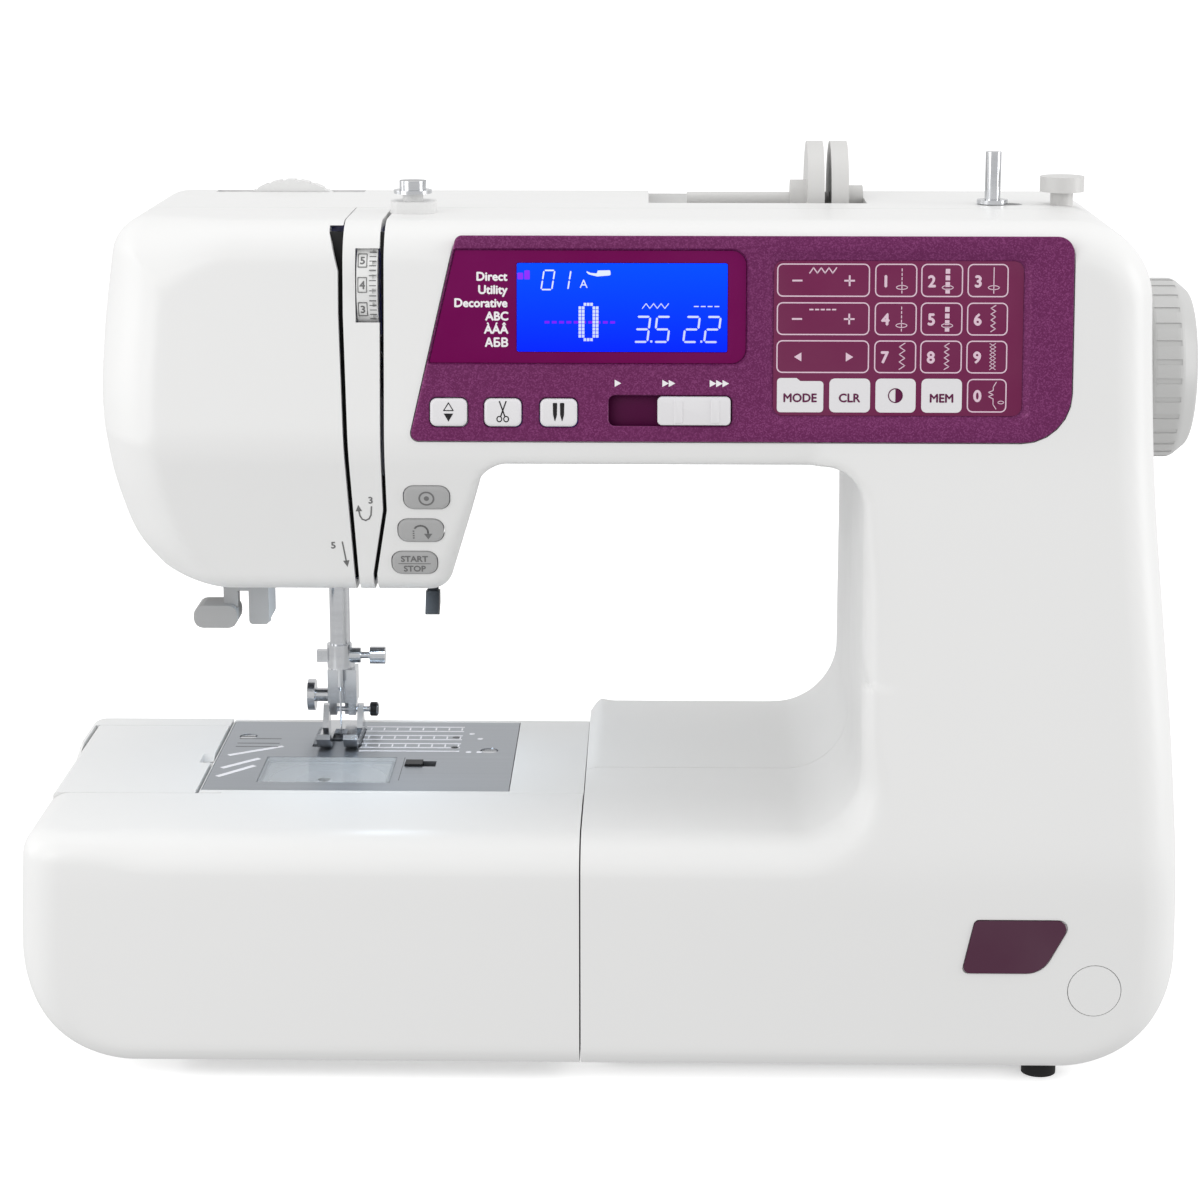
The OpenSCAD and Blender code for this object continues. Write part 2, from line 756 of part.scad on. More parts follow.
module carry_handle() {
  color(white) union() {
    for (x = [-60, 116.5]) {
      along_x(x, x + 9.5) polygon(soft([[79.2, 248, 1], [89.8, 248, 2], [88, 288.4, 4],
        [79.2, 288.4, 4]]));
    }
    along_x(-60, 126) polygon(soft([[79.2, 246, 3], [90, 246, 4.5], [90, 259, 4.5],
      [79.2, 259, 3]]));
    rod_x(-66, -59, 83, 284, 2.5);
    rod_x(125, 132, 83, 284, 2.5);
  }
}

// ---------------------------------------------------------------- control panel
module control_panel() {
  color(purple) on_face() difference() {
    along_z(-1.7, 0.5) polygon(soft([[-68.3, 2.6, 2.6], [154.7, 2.6, 16.6], [154.7, 71.6, 5.6],
      [-52.2, 71.6, 2.6]]));
    // seat of the display window and of the keypad
    along_z(-0.7, 2) polygon(soft([[-62.2, 28.4, 1], [45.8, 28.4, 1], [45.8, 67.4, 1],
      [-53, 67.4, 1]]));
    along_z(-3, 2) pill(-32, 32.6, 39.2, 62.7, 0.8);
    along_z(-0.9, 2) pill(51.2, 8.5, 141, 66.5, 5);
    // key openings and the speed slot
    for (x = [-61.3, -43, -24.2]) {
      along_z(-3, 2) pill(x, 7.4, x + 13.1, 17.4, 2.2);
    }
    along_z(-3, 2) pill(-0.8, 8, 40.6, 18.2, 2);
  }
}
module display_window() {
  color([0.28, 0.06, 0.22]) on_face() difference() {
    along_z(-0.7, 0.4) polygon(soft([[-61.9, 28.6, 0.8], [45.6, 28.6, 0.8],
      [45.6, 67.2, 0.8], [-52.8, 67.2, 0.8]]));
    along_z(-3, 2) pill(-31.9, 32.7, 39.1, 62.6, 0.7);
  }
}
module display_module() {
  color([0.02, 0.08, 0.95]) on_face() {
    along_z(-4, 0.2) pill(-31.7, 32.9, 38.9, 62.4, 0.6);
  }
}
module keypad() {
  color([0.42, 0.21, 0.34]) on_face() union() {
    along_z(-0.9, -0.2) pill(51.5, 8.8, 140.7, 66.2, 4.8);
    for (r = [0 : 2]) {
      along_z(-0.3, 0.3) pill(56.4, 51.1 - 12.5 * r, 87.1, 62.3 - 12.5 * r, 1.6);
      for (c = [0 : 2]) {
        along_z(-0.3, 0.3) pill(88.8 + 15.2 * c, 51.1 - 12.5 * r, 102 + 15.2 * c,
          62.3 - 12.5 * r, 1.6);
      }
    }
    along_z(-0.3, 0.3) pill(56.8, 13, 72.6, 24.4, 1.6);
    for (c = [0 : 2]) {
      along_z(-0.3, 0.3) pill(74.2 + 15.1 * c, 13, 87.6 + 15.1 * c, 24.4, 1.6);
    }
    along_z(-0.3, 0.3) pill(119.2, 13, 132.4, 24.4, 1.6);
  }
}
module face_key(x) {
  on_face() union() {
    along_z(-1.6, 1.7) pill(x, 7.7, x + 12.5, 17.1, 1.9);
    along_z(-5, -1.6) pill(x + 3.5, 9.5, x + 10.5, 15.5, 0.6);
  }
}
module needle_position_key() {
  color(white) face_key(-61.0);
}
module thread_cutter_key() {
  color(white) face_key(-42.7);
}
module memory_key() {
  color(white) face_key(-23.9);
}
module speed_slider() {
  color(white) on_face() union() {
    along_z(-1.4, 2.6) pill(15.6, 8.3, 40.2, 17.9, 1.6);
    along_z(-5, -1.4) pill(22, 9.6, 34, 16.4, 1);
  }
}
module head_key(x, y) {
  on_head() union() {
    along_z(-3, 0.9) pill(x - 7.8, y - 4.4, x + 7.8, y + 4.4, 3.3);
    along_z(-7, -3) pill(x - 4, y - 2.5, x + 4, y + 2.5, 1);
  }
}
module lock_stitch_button() {
  color([0.75, 0.75, 0.74]) head_key(-63, 38);
}
module reverse_button() {
  color([0.75, 0.75, 0.74]) head_key(-65.4, 25);
}
module start_stop_button() {
  color([0.75, 0.75, 0.74]) head_key(-68, 12.1);
}
module badge() {
  color([0.32, 0.2, 0.27]) along_y(front_y - 0.5, front_y + 0.8) {
    polygon(soft([[120.6, 42.3, 2], [147.6, 42.3, 9], [157.7, 61.1, 3], [124.6, 61.1, 2]]));
  }
}
module screw_cap() {
  color(white) rod_y(front_y - 0.1, front_y + 1.2, 166, 36, 9);
}

// ---------------------------------------------------------------- electrical parts
module power_inlet() {
  color(dark) difference() {
    union() {
      block([187, 20.3, 36.3], [190.5, 63.7, 91.7]);
      rod_x(175, 187, 29, 49, 6.5);
      block([174, 37, 40], [187, 61, 60]);
    }
    rod_x(174, 192, 29, 49, 3.2);
    difference() {
      block([177, 40, 43], [192, 58, 57]);
      rod_x(176, 187, 44.5, 50, 1.2);
      rod_x(176, 187, 53.5, 50, 1.2);
    }
    block([180, 29.2, 68], [192, 50.8, 84]);
  }
}
module power_switch() {
  color([0.9, 0.9, 0.9]) union() {
    along_y(30, 50) polygon([[183, 71], [191.6, 69.6], [190.6, 76], [193, 82.4], [183, 81]]);
    rod_y(29.6, 50.4, 186, 76, 1.5);
  }
}

// ---------------------------------------------------------------- output
base_plate();
feet();
front_cover();
rear_cover();
face_cover();
thread_strip();
free_arm_cover();
extension_table();
storage_lid();
needle_plate();
hook_cover_plate();
cover_release_button();
bobbin_holder();
bobbin();
rotary_hook();
feed_dogs();
drop_feed_lever();
main_frame();
upper_shaft();
lower_shaft();
hand_wheel();
motor();
motor_pulley();
timing_belt();
needle_bar();
needle_clamp();
needle_clamp_screw();
needle();
presser_bar();
foot_holder();
foot_holder_screw();
presser_foot();
presser_lifter();
take_up_lever();
threader_lever();
buttonhole_lever();
tension_dial();
foot_pressure_dial();
bobbin_thread_guide();
pretension_disc();
spool_pin();
spool_cap();
winder_spindle();
winder_stopper();
carry_handle();
control_panel();
display_window();
display_module();
keypad();
needle_position_key();
thread_cutter_key();
memory_key();
speed_slider();
start_stop_button();
reverse_button();
lock_stitch_button();
badge();
screw_cap();
power_switch();
power_inlet();
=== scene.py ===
import math

import bmesh
import bpy
import numpy as np
from mathutils import Matrix, Vector


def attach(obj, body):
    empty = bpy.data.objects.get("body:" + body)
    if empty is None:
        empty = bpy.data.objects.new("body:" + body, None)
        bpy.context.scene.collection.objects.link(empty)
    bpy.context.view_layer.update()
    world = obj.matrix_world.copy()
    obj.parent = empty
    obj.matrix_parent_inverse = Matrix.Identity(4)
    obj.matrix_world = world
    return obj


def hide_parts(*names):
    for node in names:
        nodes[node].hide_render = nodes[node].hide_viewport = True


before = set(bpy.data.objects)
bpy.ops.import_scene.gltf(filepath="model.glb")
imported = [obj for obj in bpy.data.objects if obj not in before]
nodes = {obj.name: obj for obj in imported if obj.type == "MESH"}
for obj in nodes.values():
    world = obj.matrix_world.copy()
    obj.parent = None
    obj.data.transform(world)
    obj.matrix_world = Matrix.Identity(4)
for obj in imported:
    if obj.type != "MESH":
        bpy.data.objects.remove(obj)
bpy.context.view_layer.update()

MM = 0.001
FACE_TILT = math.radians(6.5)     # the control face leans back by this
HEAD_TILT = math.radians(18.3)    # the face below the crease recedes by this
CREASE_Y, CREASE_Z = -64.2, 219.0
TOP_Z, ARM_Z, HEAD_Z, BED_Z = 294.0, 213.0, 165.0, 88.0
FRONT_Y, BACK_Y = -89.5, 78.0
TOP_Y = CREASE_Y + (TOP_Z - CREASE_Z) * math.tan(FACE_TILT)
SPLIT_Y = -4.0
SEAM_X = -10.0
WALL = 3.0
scene = bpy.context.scene


# ------------------------------------------------------------------ small helpers
def face_matrix():
    """Local x right, y up the control face, z out of it (mm)."""
    return (Matrix.Translation((0, CREASE_Y, CREASE_Z))
            @ Matrix.Rotation(math.pi / 2 - FACE_TILT, 4, "X"))


def head_matrix():
    """The same on the lower face of the head."""
    toe_y = CREASE_Y + (CREASE_Z - HEAD_Z) * math.tan(HEAD_TILT)
    return (Matrix.Translation((0, toe_y, HEAD_Z))
            @ Matrix.Rotation(math.pi / 2 + HEAD_TILT, 4, "X"))


def plane_matrix(origin, rx=0.0, ry=0.0, rz=0.0):
    return (Matrix.Translation(origin) @ Matrix.Rotation(math.radians(rz), 4, "Z")
            @ Matrix.Rotation(math.radians(ry), 4, "Y") @ Matrix.Rotation(math.radians(rx), 4, "X"))


FACE, HEAD = face_matrix(), head_matrix()
IDENT = Matrix.Identity(4)


def make(name, verts, faces, mat=None, body=None, slot=None, tf=IDENT, smooth=35, replaces=()):
    """A mesh object from vertices in mm, moved by tf, then scaled to metres."""
    me = bpy.data.meshes.new(name)
    v = np.asarray(verts, float).reshape(-1, 3)
    m = np.array(tf)
    v = (v @ m[:3, :3].T + m[:3, 3]) * MM
    me.from_pydata(v.tolist(), [], [list(map(int, f)) for f in faces])
    me.validate()
    me.update()
    if smooth:
        me.shade_smooth()
        me.set_sharp_from_angle(angle=math.radians(smooth))
    ob = bpy.data.objects.new(name, me)
    scene.collection.objects.link(ob)
    if mat:
        me.materials.append(mat)
    finish_piece(ob, body, replaces)
    return ob


def finish_piece(ob, body=None, replaces=()):
    """Give a piece its body and the CAD nodes it stands for."""
    if body:
        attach(ob, body)
    if replaces:
        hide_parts(*replaces)


def soft(pts, n=6):
    """Polygon with rounded corners from (x, y, r) points."""
    out = []
    m = len(pts)
    for i in range(m):
        p, q, s = pts[i - 1], pts[i], pts[(i + 1) % m]
        o = np.array(q[:2], float)
        r = q[2] if len(q) > 2 else 0
        if r <= 0:
            out.append(tuple(o))
            continue
        a = np.array(p[:2], float) - o
        b = np.array(s[:2], float) - o
        a /= np.linalg.norm(a)
        b /= np.linalg.norm(b)
        h = math.acos(max(-1.0, min(1.0, float(a @ b)))) / 2
        c = o + (a + b) / np.linalg.norm(a + b) * r / math.sin(h)
        u = o + a * r / math.tan(h) - c
        w = o + b * r / math.tan(h) - c
        a0 = math.atan2(u[1], u[0])
        d = math.atan2(w[1], w[0]) - a0
        d = (d + math.pi) % (2 * math.pi) - math.pi
        for k in range(n + 1):
            t = a0 + d * k / n
            out.append((c[0] + r * math.cos(t), c[1] + r * math.sin(t)))
    return out


def rrect(x0, y0, x1, y1, r, n=6):
    return soft([(x0, y0, r), (x1, y0, r), (x1, y1, r), (x0, y1, r)], n)


def disc(cx, cy, r, n=40):
    return [(cx + r * math.cos(2 * math.pi * k / n), cy + r * math.sin(2 * math.pi * k / n))
            for k in range(n)]


def turns_left(p):
    """True when the polygon runs counter-clockwise."""
    return np.sum(p[:, 0] * np.roll(p[:, 1], -1) - np.roll(p[:, 0], -1) * p[:, 1]) > 0


def inset(poly, d):
    """Every edge of a polygon moved in by d."""
    p = np.array(poly, float)
    s = 1.0 if turns_left(p) else -1.0
    e = np.roll(p, -1, 0) - p
    ln = np.maximum(np.linalg.norm(e, axis=1, keepdims=True), 1e-9)
    nrm = np.stack([-e[:, 1], e[:, 0]], 1) / ln * s
    n0 = np.roll(nrm, 1, 0)
    mid = n0 + nrm
    k = np.maximum(np.sum(mid * mid, 1, keepdims=True), 0.3)
    return p + mid / k * 2 * d


def ring_mesh(poly, rings):
    """Vertices and faces of poly carried through rings of (inset, height), closed at both ends."""
    p = np.array(poly, float)
    if not turns_left(p):
        p = p[::-1]
    n = len(p)
    verts, faces = [], []
    for d, z in rings:
        verts += [(x, y, z) for x, y in (inset(p, d) if d else p)]
    for k in range(len(rings) - 1):
        for i in range(n):
            j = (i + 1) % n
            faces.append((k * n + i, k * n + j, (k + 1) * n + j, (k + 1) * n + i))
    faces.append(tuple(range(n - 1, -1, -1)))
    faces.append(tuple(range((len(rings) - 1) * n, len(rings) * n)))
    return verts, faces


def loft(name, poly, rings, mat, body, tf=IDENT, **kw):
    """A piece made of poly carried through rings of (inset, height)."""
    return make(name, *ring_mesh(poly, rings), mat, body, tf=tf, **kw)


def prism(poly, axis, a, b):
    """Corners of a prism that runs along axis from a to b, and how many each end has."""
    p = np.array(poly, float)
    n = len(p)
    order = {"x": (2, 0, 1), "y": (0, 2, 1), "z": (0, 1, 2)}[axis]
    ends = [np.column_stack([p, np.full(n, h)])[:, order] for h in (a, b)]
    return np.concatenate(ends), n


def closed_mesh(name, verts, faces, tf):
    """A triangulated closed mesh in metres, with its faces turned outwards."""
    m = np.array(tf)
    v = (np.array(verts) @ m[:3, :3].T + m[:3, 3]) * MM
    me = bpy.data.meshes.new(name)
    me.from_pydata(v.tolist(), [], faces)
    bm = bmesh.new()
    bm.from_mesh(me)
    bmesh.ops.triangulate(bm, faces=bm.faces)
    bmesh.ops.recalc_face_normals(bm, faces=bm.faces)
    bm.to_mesh(me)
    bm.free()
    return me


def cutter(poly, axis="y", a=-150.0, b=150.0, tf=IDENT):
    """A closed prism, drawn in the plane across axis."""
    v, n = prism(poly, axis, a, b)
    faces = [list(range(n)), list(range(2 * n - 1, n - 1, -1))]
    faces += [[i, (i + 1) % n, n + (i + 1) % n, n + i] for i in range(n)]
    return closed_mesh("cutter", v, faces, tf)


def solid(poly, rings, tf=IDENT):
    """Closed mesh through rings of (inset, height), for cutting or for joining."""
    return closed_mesh("solid", *ring_mesh(poly, rings), tf)


def bx(x0, x1, y0, y1, z0, z1, tf=IDENT):
    """A rectangular block between the given limits."""
    return cutter([(x0, y0), (x1, y0), (x1, y1), (x0, y1)], "z", z0, z1, tf)


def cut(me, other, how="DIFFERENCE"):
    """me with other taken away (or kept in common, or joined), as a new mesh."""
    a = bpy.data.objects.new("cut_a", me)
    b = bpy.data.objects.new("cut_b", other)
    scene.collection.objects.link(a)
    scene.collection.objects.link(b)
    out = None
    for solver in ("MANIFOLD", "EXACT"):
        mod = a.modifiers.new("cut", "BOOLEAN")
        mod.operation = how
        mod.object = b
        mod.solver = solver
        dg = bpy.context.evaluated_depsgraph_get()
        out = bpy.data.meshes.new_from_object(a.evaluated_get(dg))
        a.modifiers.clear()
        if len(out.polygons) > 0:
            break
    bpy.data.objects.remove(a)
    bpy.data.objects.remove(b)
    return out


def cut_all(me, others, how="DIFFERENCE"):
    for o in others:
        me = cut(me, o, how)
    return me


def wrap(name, me, mat, body, replaces=(), smooth=32):
    """A finished mesh as a piece of the object."""
    ob = bpy.data.objects.new(name, me)
    scene.collection.objects.link(ob)
    me.materials.clear()
    me.materials.append(mat)
    me.shade_smooth()
    me.set_sharp_from_angle(angle=math.radians(smooth))
    finish_piece(ob, body, replaces)
    return ob


# ------------------------------------------------------------------ smooth casing form
def rmax(a, b, r):
    """Rounded intersection of two distance fields, edge radius r."""
    return (np.minimum(np.maximum(a, b), -r)
            + np.sqrt(np.maximum(a + r, 0) ** 2 + np.maximum(b + r, 0) ** 2))


def rmin(a, b, r):
    return -rmax(-a, -b, r)


def step01(x, a, b):
    t = np.clip((x - a) / (b - a), 0, 1)
    return t * t * (3 - 2 * t)


def curve(pts, width):
    """A smoothed polyline z -> value."""
    zz = np.linspace(-60, 360, 841)
    v = np.interp(zz, [p[0] for p in pts], [p[1] for p in pts])
    k = max(1, int(width / 0.5)) | 1
    pad = k // 2
    vp = np.concatenate([np.full(pad, v[0]), v, np.full(pad, v[-1])])
    v = np.convolve(vp, np.ones(k) / k, "valid")
    v = np.convolve(np.concatenate([np.full(pad, v[0]), v, np.full(pad, v[-1])]),
                    np.ones(k) / k, "valid")
    return lambda z: np.interp(z, zz, v)


FRONT_AT = curve([(0, FRONT_Y), (78, FRONT_Y), (CREASE_Z, CREASE_Y), (TOP_Z, TOP_Y),
                  (360, TOP_Y + 7.5)], 14)
UPPER_AT = lambda z: CREASE_Y + (z - CREASE_Z) * math.tan(FACE_TILT)
RIGHT_AT = curve([(0, 195), (66, 195), (120, 192.3), (206, 185), (262, 183.2), (360, 182)], 34)
HEAD_LEFT_AT = curve([(140, -145), (158, -151.5), (180, -170), (204, -176), (234, -178.3),
                      (262, -176.2), (294, -171), (340, -163)], 12)
TABLE_LEFT_AT = curve([(0, -205), (50, -205), (88, -203), (130, -201)], 16)


FAR = -900                       # a distance that never decides the form


def casing(x, y, z):
    """Signed distance of the whole white casing, without its seams."""
    on_table = x < SEAM_X
    low = z < 126                # the base; above it are the column, the arm and the head
    in_arm = z > 140
    # front: the column's slope runs into the control face, and the head falls back below it
    front = FRONT_AT(z) - y
    upper = np.where(in_arm, UPPER_AT(z) - y, FAR)
    slope_scale = 0.985          # keeps the field near a true distance on the sloping front
    recede = (CREASE_Y + (CREASE_Z - z) * math.tan(HEAD_TILT) - y) * math.cos(HEAD_TILT)
    recede = recede - 60 * step01(x, 66, 104)
    recede = np.where(in_arm, recede, FAR)
    arm_w = step01(x, 100, 64)
    front = np.where(in_arm, front * (1 - arm_w) + np.maximum(upper, FAR) * arm_w, front)
    front = front * slope_scale
    front = rmax(front, recede, 2.6)
    back_low = np.where(on_table, 66.0, 72 + 6 * step01(x, 56, 90))
    back = y - np.where(low, back_low, BACK_Y - 4 * step01(z, 236, TOP_Z))
    # outline seen from the front
    right = x - RIGHT_AT(z)
    left = np.where(low, TABLE_LEFT_AT(z), HEAD_LEFT_AT(z)) - x
    top = z - TOP_Z
    bottom = 6.0 - z
    outline = rmax(right, top, 26.0)
    outline = rmax(outline, bottom, 40.0)
    outline = rmax(outline, np.where(low, left, FAR), 40.0)
    outline = rmax(outline, np.where(low, FAR, left), 12.0)
    # radius of the edge between the outline and the front
    wl = step01(left, -46, -4)
    wt = step01(top, -34, -4)
    wb = step01(bottom, -40, -6)
    r_out = np.where(low, 17.0, 14.0 + 22.0 * wl * (1 - 0.2 * wt))
    r_out = r_out * (1 - wb) + 8.0 * wb
    r_out = np.where(x > 0, 15.0 * (1 - wb) + 8.0 * wb, r_out)
    f = rmax(outline, front, r_out)
    f = rmax(f, back, np.where(low, np.where(on_table, 5.0, 9.0), 15.0))
    # the open throat and the gap under the head
    rise = 8.0 * step01(y, -34, 74) * step01(x, -13, -5)
    bed = BED_Z + rise
    h2 = rmax(z - ARM_Z, (-55.2 + (z - 172) * 0.283) - x, 8.0)
    hole = rmin(z - HEAD_Z, h2, 6.0)
    hole = rmax(hole, x - 85.5, 14.0)
    hole = rmax(hole, bed - z, 22.0 * step01(x, 20, 50) + 0.6)
    # radius of the edge around the opening: round at the bed's front, sharp behind
    r_bed = 13.0 - 10.0 * step01(y, 0, 50) * step01(-x, 0, 14) - 6 * step01(y, 0, 50)
    w_end = step01(-x, 156, 180)
    r_bed = r_bed * (1 - w_end) + np.minimum(r_bed, 9.0) * w_end
    r_col = 6.5 - 4.0 * step01(z, 168, 208)
    r_edge = r_bed + (r_col - r_bed) * step01(z, 90, 128)
    r_edge = np.maximum(r_edge, 1.5)
    return rmax(f, -hole, r_edge)


def surface(fn, lo, hi, h):
    """Closed mesh of fn == 0 by surface nets, its vertices drawn onto the surface."""
    ax = [np.arange(lo[i], hi[i] + h, h) for i in range(3)]
    n = [len(a) for a in ax]
    f = np.empty(n, np.float32)
    for i0 in range(0, n[0], 32):
        xs = ax[0][i0:i0 + 32]
        gx, gy, gz = np.meshgrid(xs, ax[1], ax[2], indexing="ij")
        f[i0:i0 + 32] = fn(gx, gy, gz)
    f[np.abs(f) < 1e-6] = 1e-6
    s = f < 0
    cnt = np.zeros([k - 1 for k in n], np.int8)
    for dx in (0, 1):
        for dy in (0, 1):
            for dz in (0, 1):
                cnt += s[dx:n[0] - 1 + dx, dy:n[1] - 1 + dy, dz:n[2] - 1 + dz]
    act = (cnt > 0) & (cnt < 8)
    ci, cj, ck = np.nonzero(act)
    idx = np.full(act.shape, -1, np.int32)
    idx[ci, cj, ck] = np.arange(len(ci))
    pos = np.zeros((len(ci), 3))
    num = np.zeros(len(ci))
    for a in range(3):
        b, c = [k for k in range(3) if k != a]
        for ob in (0, 1):
            for oc in (0, 1):
                o = [0, 0, 0]
                o[b], o[c] = ob, oc
                q = list(o)
                q[a] = 1
                fa = f[ci + o[0], cj + o[1], ck + o[2]].astype(float)
                fb = f[ci + q[0], cj + q[1], ck + q[2]].astype(float)
                m = (fa < 0) != (fb < 0)
                t = np.where(m, fa / np.where(m, fa - fb, 1), 0)
                p = np.zeros((len(ci), 3))
                p[:, b], p[:, c], p[:, a] = ob, oc, t
                pos += p * m[:, None]
                num += m
    pos = pos / num[:, None] + np.stack([ci, cj, ck], 1)
    v = pos * h + np.array(lo)
    quads = []
    for a in range(3):
        b, c = (a + 1) % 3, (a + 2) % 3
        sl0 = [slice(None)] * 3
        sl1 = [slice(None)] * 3
        sl0[a], sl1[a] = slice(0, n[a] - 1), slice(1, n[a])
        for k in (b, c):
            sl0[k] = slice(1, n[k] - 1)
            sl1[k] = slice(1, n[k] - 1)
        s0, s1 = s[tuple(sl0)], s[tuple(sl1)]
        for flag, flip in ((s0 & ~s1, False), (~s0 & s1, True)):
            w = np.nonzero(flag)
            g = [w[0], w[1], w[2]]
            g[b] = g[b] + 1
            g[c] = g[c] + 1
            cells = []
            for ob, oc in ((1, 1), (0, 1), (0, 0), (1, 0)):
                u = [g[0].copy(), g[1].copy(), g[2].copy()]
                u[b] = u[b] - ob
                u[c] = u[c] - oc
                cells.append(idx[u[0], u[1], u[2]])
            q = np.stack(cells, 1)
            quads.append(q[:, ::-1] if flip else q)
    q = np.concatenate(quads)
    e = 0.02
    for _ in range(3):
        f0 = fn(v[:, 0], v[:, 1], v[:, 2])
        g = np.stack([fn(v[:, 0] + e * (k == 0), v[:, 1] + e * (k == 1), v[:, 2] + e * (k == 2))
                      - f0 for k in range(3)], 1) / e
        gg = np.maximum(np.sum(g * g, 1), 0.2)
        mv = -g * (f0 / gg)[:, None]
        ln = np.linalg.norm(mv, axis=1, keepdims=True)
        v = v + mv * np.minimum(1, 0.7 * h / np.maximum(ln, 1e-9))
    me = bpy.data.meshes.new("surface")
    me.vertices.add(len(v))
    me.vertices.foreach_set("co", (v * MM).astype(np.float32).ravel())
    me.loops.add(len(q) * 4)
    me.loops.foreach_set("vertex_index", q.astype(np.int32).ravel())
    me.polygons.add(len(q))
    me.polygons.foreach_set("loop_start", np.arange(0, len(q) * 4, 4, dtype=np.int32))
    me.update(calc_edges=True)
    me.validate()
    return me


# ------------------------------------------------------------------ materials
def tree(name):
    """A new material, its node tree and its shader."""
    m = bpy.data.materials.new(name)
    m.use_nodes = True
    nt = m.node_tree
    return m, nt, nt.nodes["Principled BSDF"]


def put(nt, kind, x=0, y=0, **kw):
    """A new node at x, y with its inputs or settings filled in."""
    n = nt.nodes.new(kind)
    n.location = (x, y)
    for k, v in kw.items():
        if k in n.inputs:
            n.inputs[k].default_value = v
        else:
            setattr(n, k, v)
    return n


def two_tone(nt, fac, c0, c1, lo=0.0, hi=1.0):
    """A colour ramp from c0 at lo to c1 at hi, driven by fac."""
    cr = put(nt, "ShaderNodeValToRGB", -500, 0)
    for e, at, c in zip(cr.color_ramp.elements, (lo, hi), (c0, c1)):
        e.position = at
        e.color = (*c, 1)
    nt.links.new(fac, cr.inputs["Fac"])
    return cr.outputs["Color"]


def noise_mix(nt, bsdf, c0, c1, scale):
    """Object-space noise between two base colours."""
    tc = put(nt, "ShaderNodeTexCoord", -900, 0)
    no = put(nt, "ShaderNodeTexNoise", -700, 0, Scale=scale, Detail=4.0)
    nt.links.new(tc.outputs["Object"], no.inputs["Vector"])
    nt.links.new(two_tone(nt, no.outputs["Fac"], c0, c1, 0.35, 0.65), bsdf.inputs["Base Color"])
    return tc


def rough_mix(nt, bsdf, tc, scale, lo, hi):
    """Roughness that wanders between lo and hi."""
    no = put(nt, "ShaderNodeTexNoise", -700, -300, Scale=scale, Detail=3.0)
    nt.links.new(tc.outputs["Object"], no.inputs["Vector"])
    mr = put(nt, "ShaderNodeMapRange", -500, -300)
    mr.inputs["From Min"].default_value = 0.3
    mr.inputs["From Max"].default_value = 0.7
    mr.inputs["To Min"].default_value = lo
    mr.inputs["To Max"].default_value = hi
    nt.links.new(no.outputs["Fac"], mr.inputs["Value"])
    nt.links.new(mr.outputs["Result"], bsdf.inputs["Roughness"])


def bump(nt, bsdf, tc, scale, strength, dist):
    """A fine grain of height dist."""
    no = put(nt, "ShaderNodeTexNoise", -700, -600, Scale=scale, Detail=2.0)
    nt.links.new(tc.outputs["Object"], no.inputs["Vector"])
    bp = put(nt, "ShaderNodeBump", -300, -600)
    bp.inputs["Strength"].default_value = strength
    bp.inputs["Distance"].default_value = dist
    nt.links.new(no.outputs["Fac"], bp.inputs["Height"])
    nt.links.new(bp.outputs["Normal"], bsdf.inputs["Normal"])


def plastic(name, c, rough=0.28, vary=0.012, grain=2200, depth=0.00002, spec=0.5):
    """Moulded plastic with a fine grain."""
    m, nt, b = tree(name)
    c0 = tuple(max(0, k - vary) for k in c)
    tc = noise_mix(nt, b, c0, c, 26)
    rough_mix(nt, b, tc, 60, rough - 0.03, rough + 0.04)
    bump(nt, b, tc, grain, 0.25, depth)
    b.inputs["Specular IOR Level"].default_value = spec
    return m


def metal(name, c, rough=0.22, scale=(6, 900, 6), vary=0.06, strength=0.15):
    """Metal with fine drawn lines along one axis."""
    m, nt, b = tree(name)
    b.inputs["Metallic"].default_value = 1.0
    tc = put(nt, "ShaderNodeTexCoord", -1100, 0)
    mp = put(nt, "ShaderNodeMapping", -900, 0)
    mp.inputs["Scale"].default_value = scale
    no = put(nt, "ShaderNodeTexNoise", -700, 0, Scale=1.0, Detail=5.0)
    nt.links.new(tc.outputs["Object"], mp.inputs["Vector"])
    nt.links.new(mp.outputs["Vector"], no.inputs["Vector"])
    dark = [max(0, k - vary) for k in c]
    nt.links.new(two_tone(nt, no.outputs["Fac"], dark, c, 0.3, 0.7), b.inputs["Base Color"])
    mr = put(nt, "ShaderNodeMapRange", -500, -300)
    mr.inputs["To Min"].default_value = rough - 0.06
    mr.inputs["To Max"].default_value = rough + 0.08
    nt.links.new(no.outputs["Fac"], mr.inputs["Value"])
    nt.links.new(mr.outputs["Result"], b.inputs["Roughness"])
    bp = put(nt, "ShaderNodeBump", -300, -600)
    bp.inputs["Strength"].default_value = strength
    bp.inputs["Distance"].default_value = 0.00002
    nt.links.new(no.outputs["Fac"], bp.inputs["Height"])
    nt.links.new(bp.outputs["Normal"], b.inputs["Normal"])
    return m


def sparkle(name, base, fleck, rough=0.32):
    """Metallic lacquer with fine flakes."""
    m, nt, b = tree(name)
    tc = put(nt, "ShaderNodeTexCoord", -1100, 0)
    vo = put(nt, "ShaderNodeTexVoronoi", -900, 0, Scale=2600.0)
    nt.links.new(tc.outputs["Object"], vo.inputs["Vector"])
    sep = put(nt, "ShaderNodeSeparateColor", -700, 0)
    nt.links.new(vo.outputs["Color"], sep.inputs["Color"])
    nt.links.new(two_tone(nt, sep.outputs["Red"], base, fleck, 0.45), b.inputs["Base Color"])
    b.inputs["Metallic"].default_value = 0.25
    rough_mix(nt, b, tc, 90, rough - 0.04, rough + 0.04)
    b.inputs["Specular IOR Level"].default_value = 0.2
    b.inputs["Coat Weight"].default_value = 0.12
    b.inputs["Coat Roughness"].default_value = 0.2
    return m


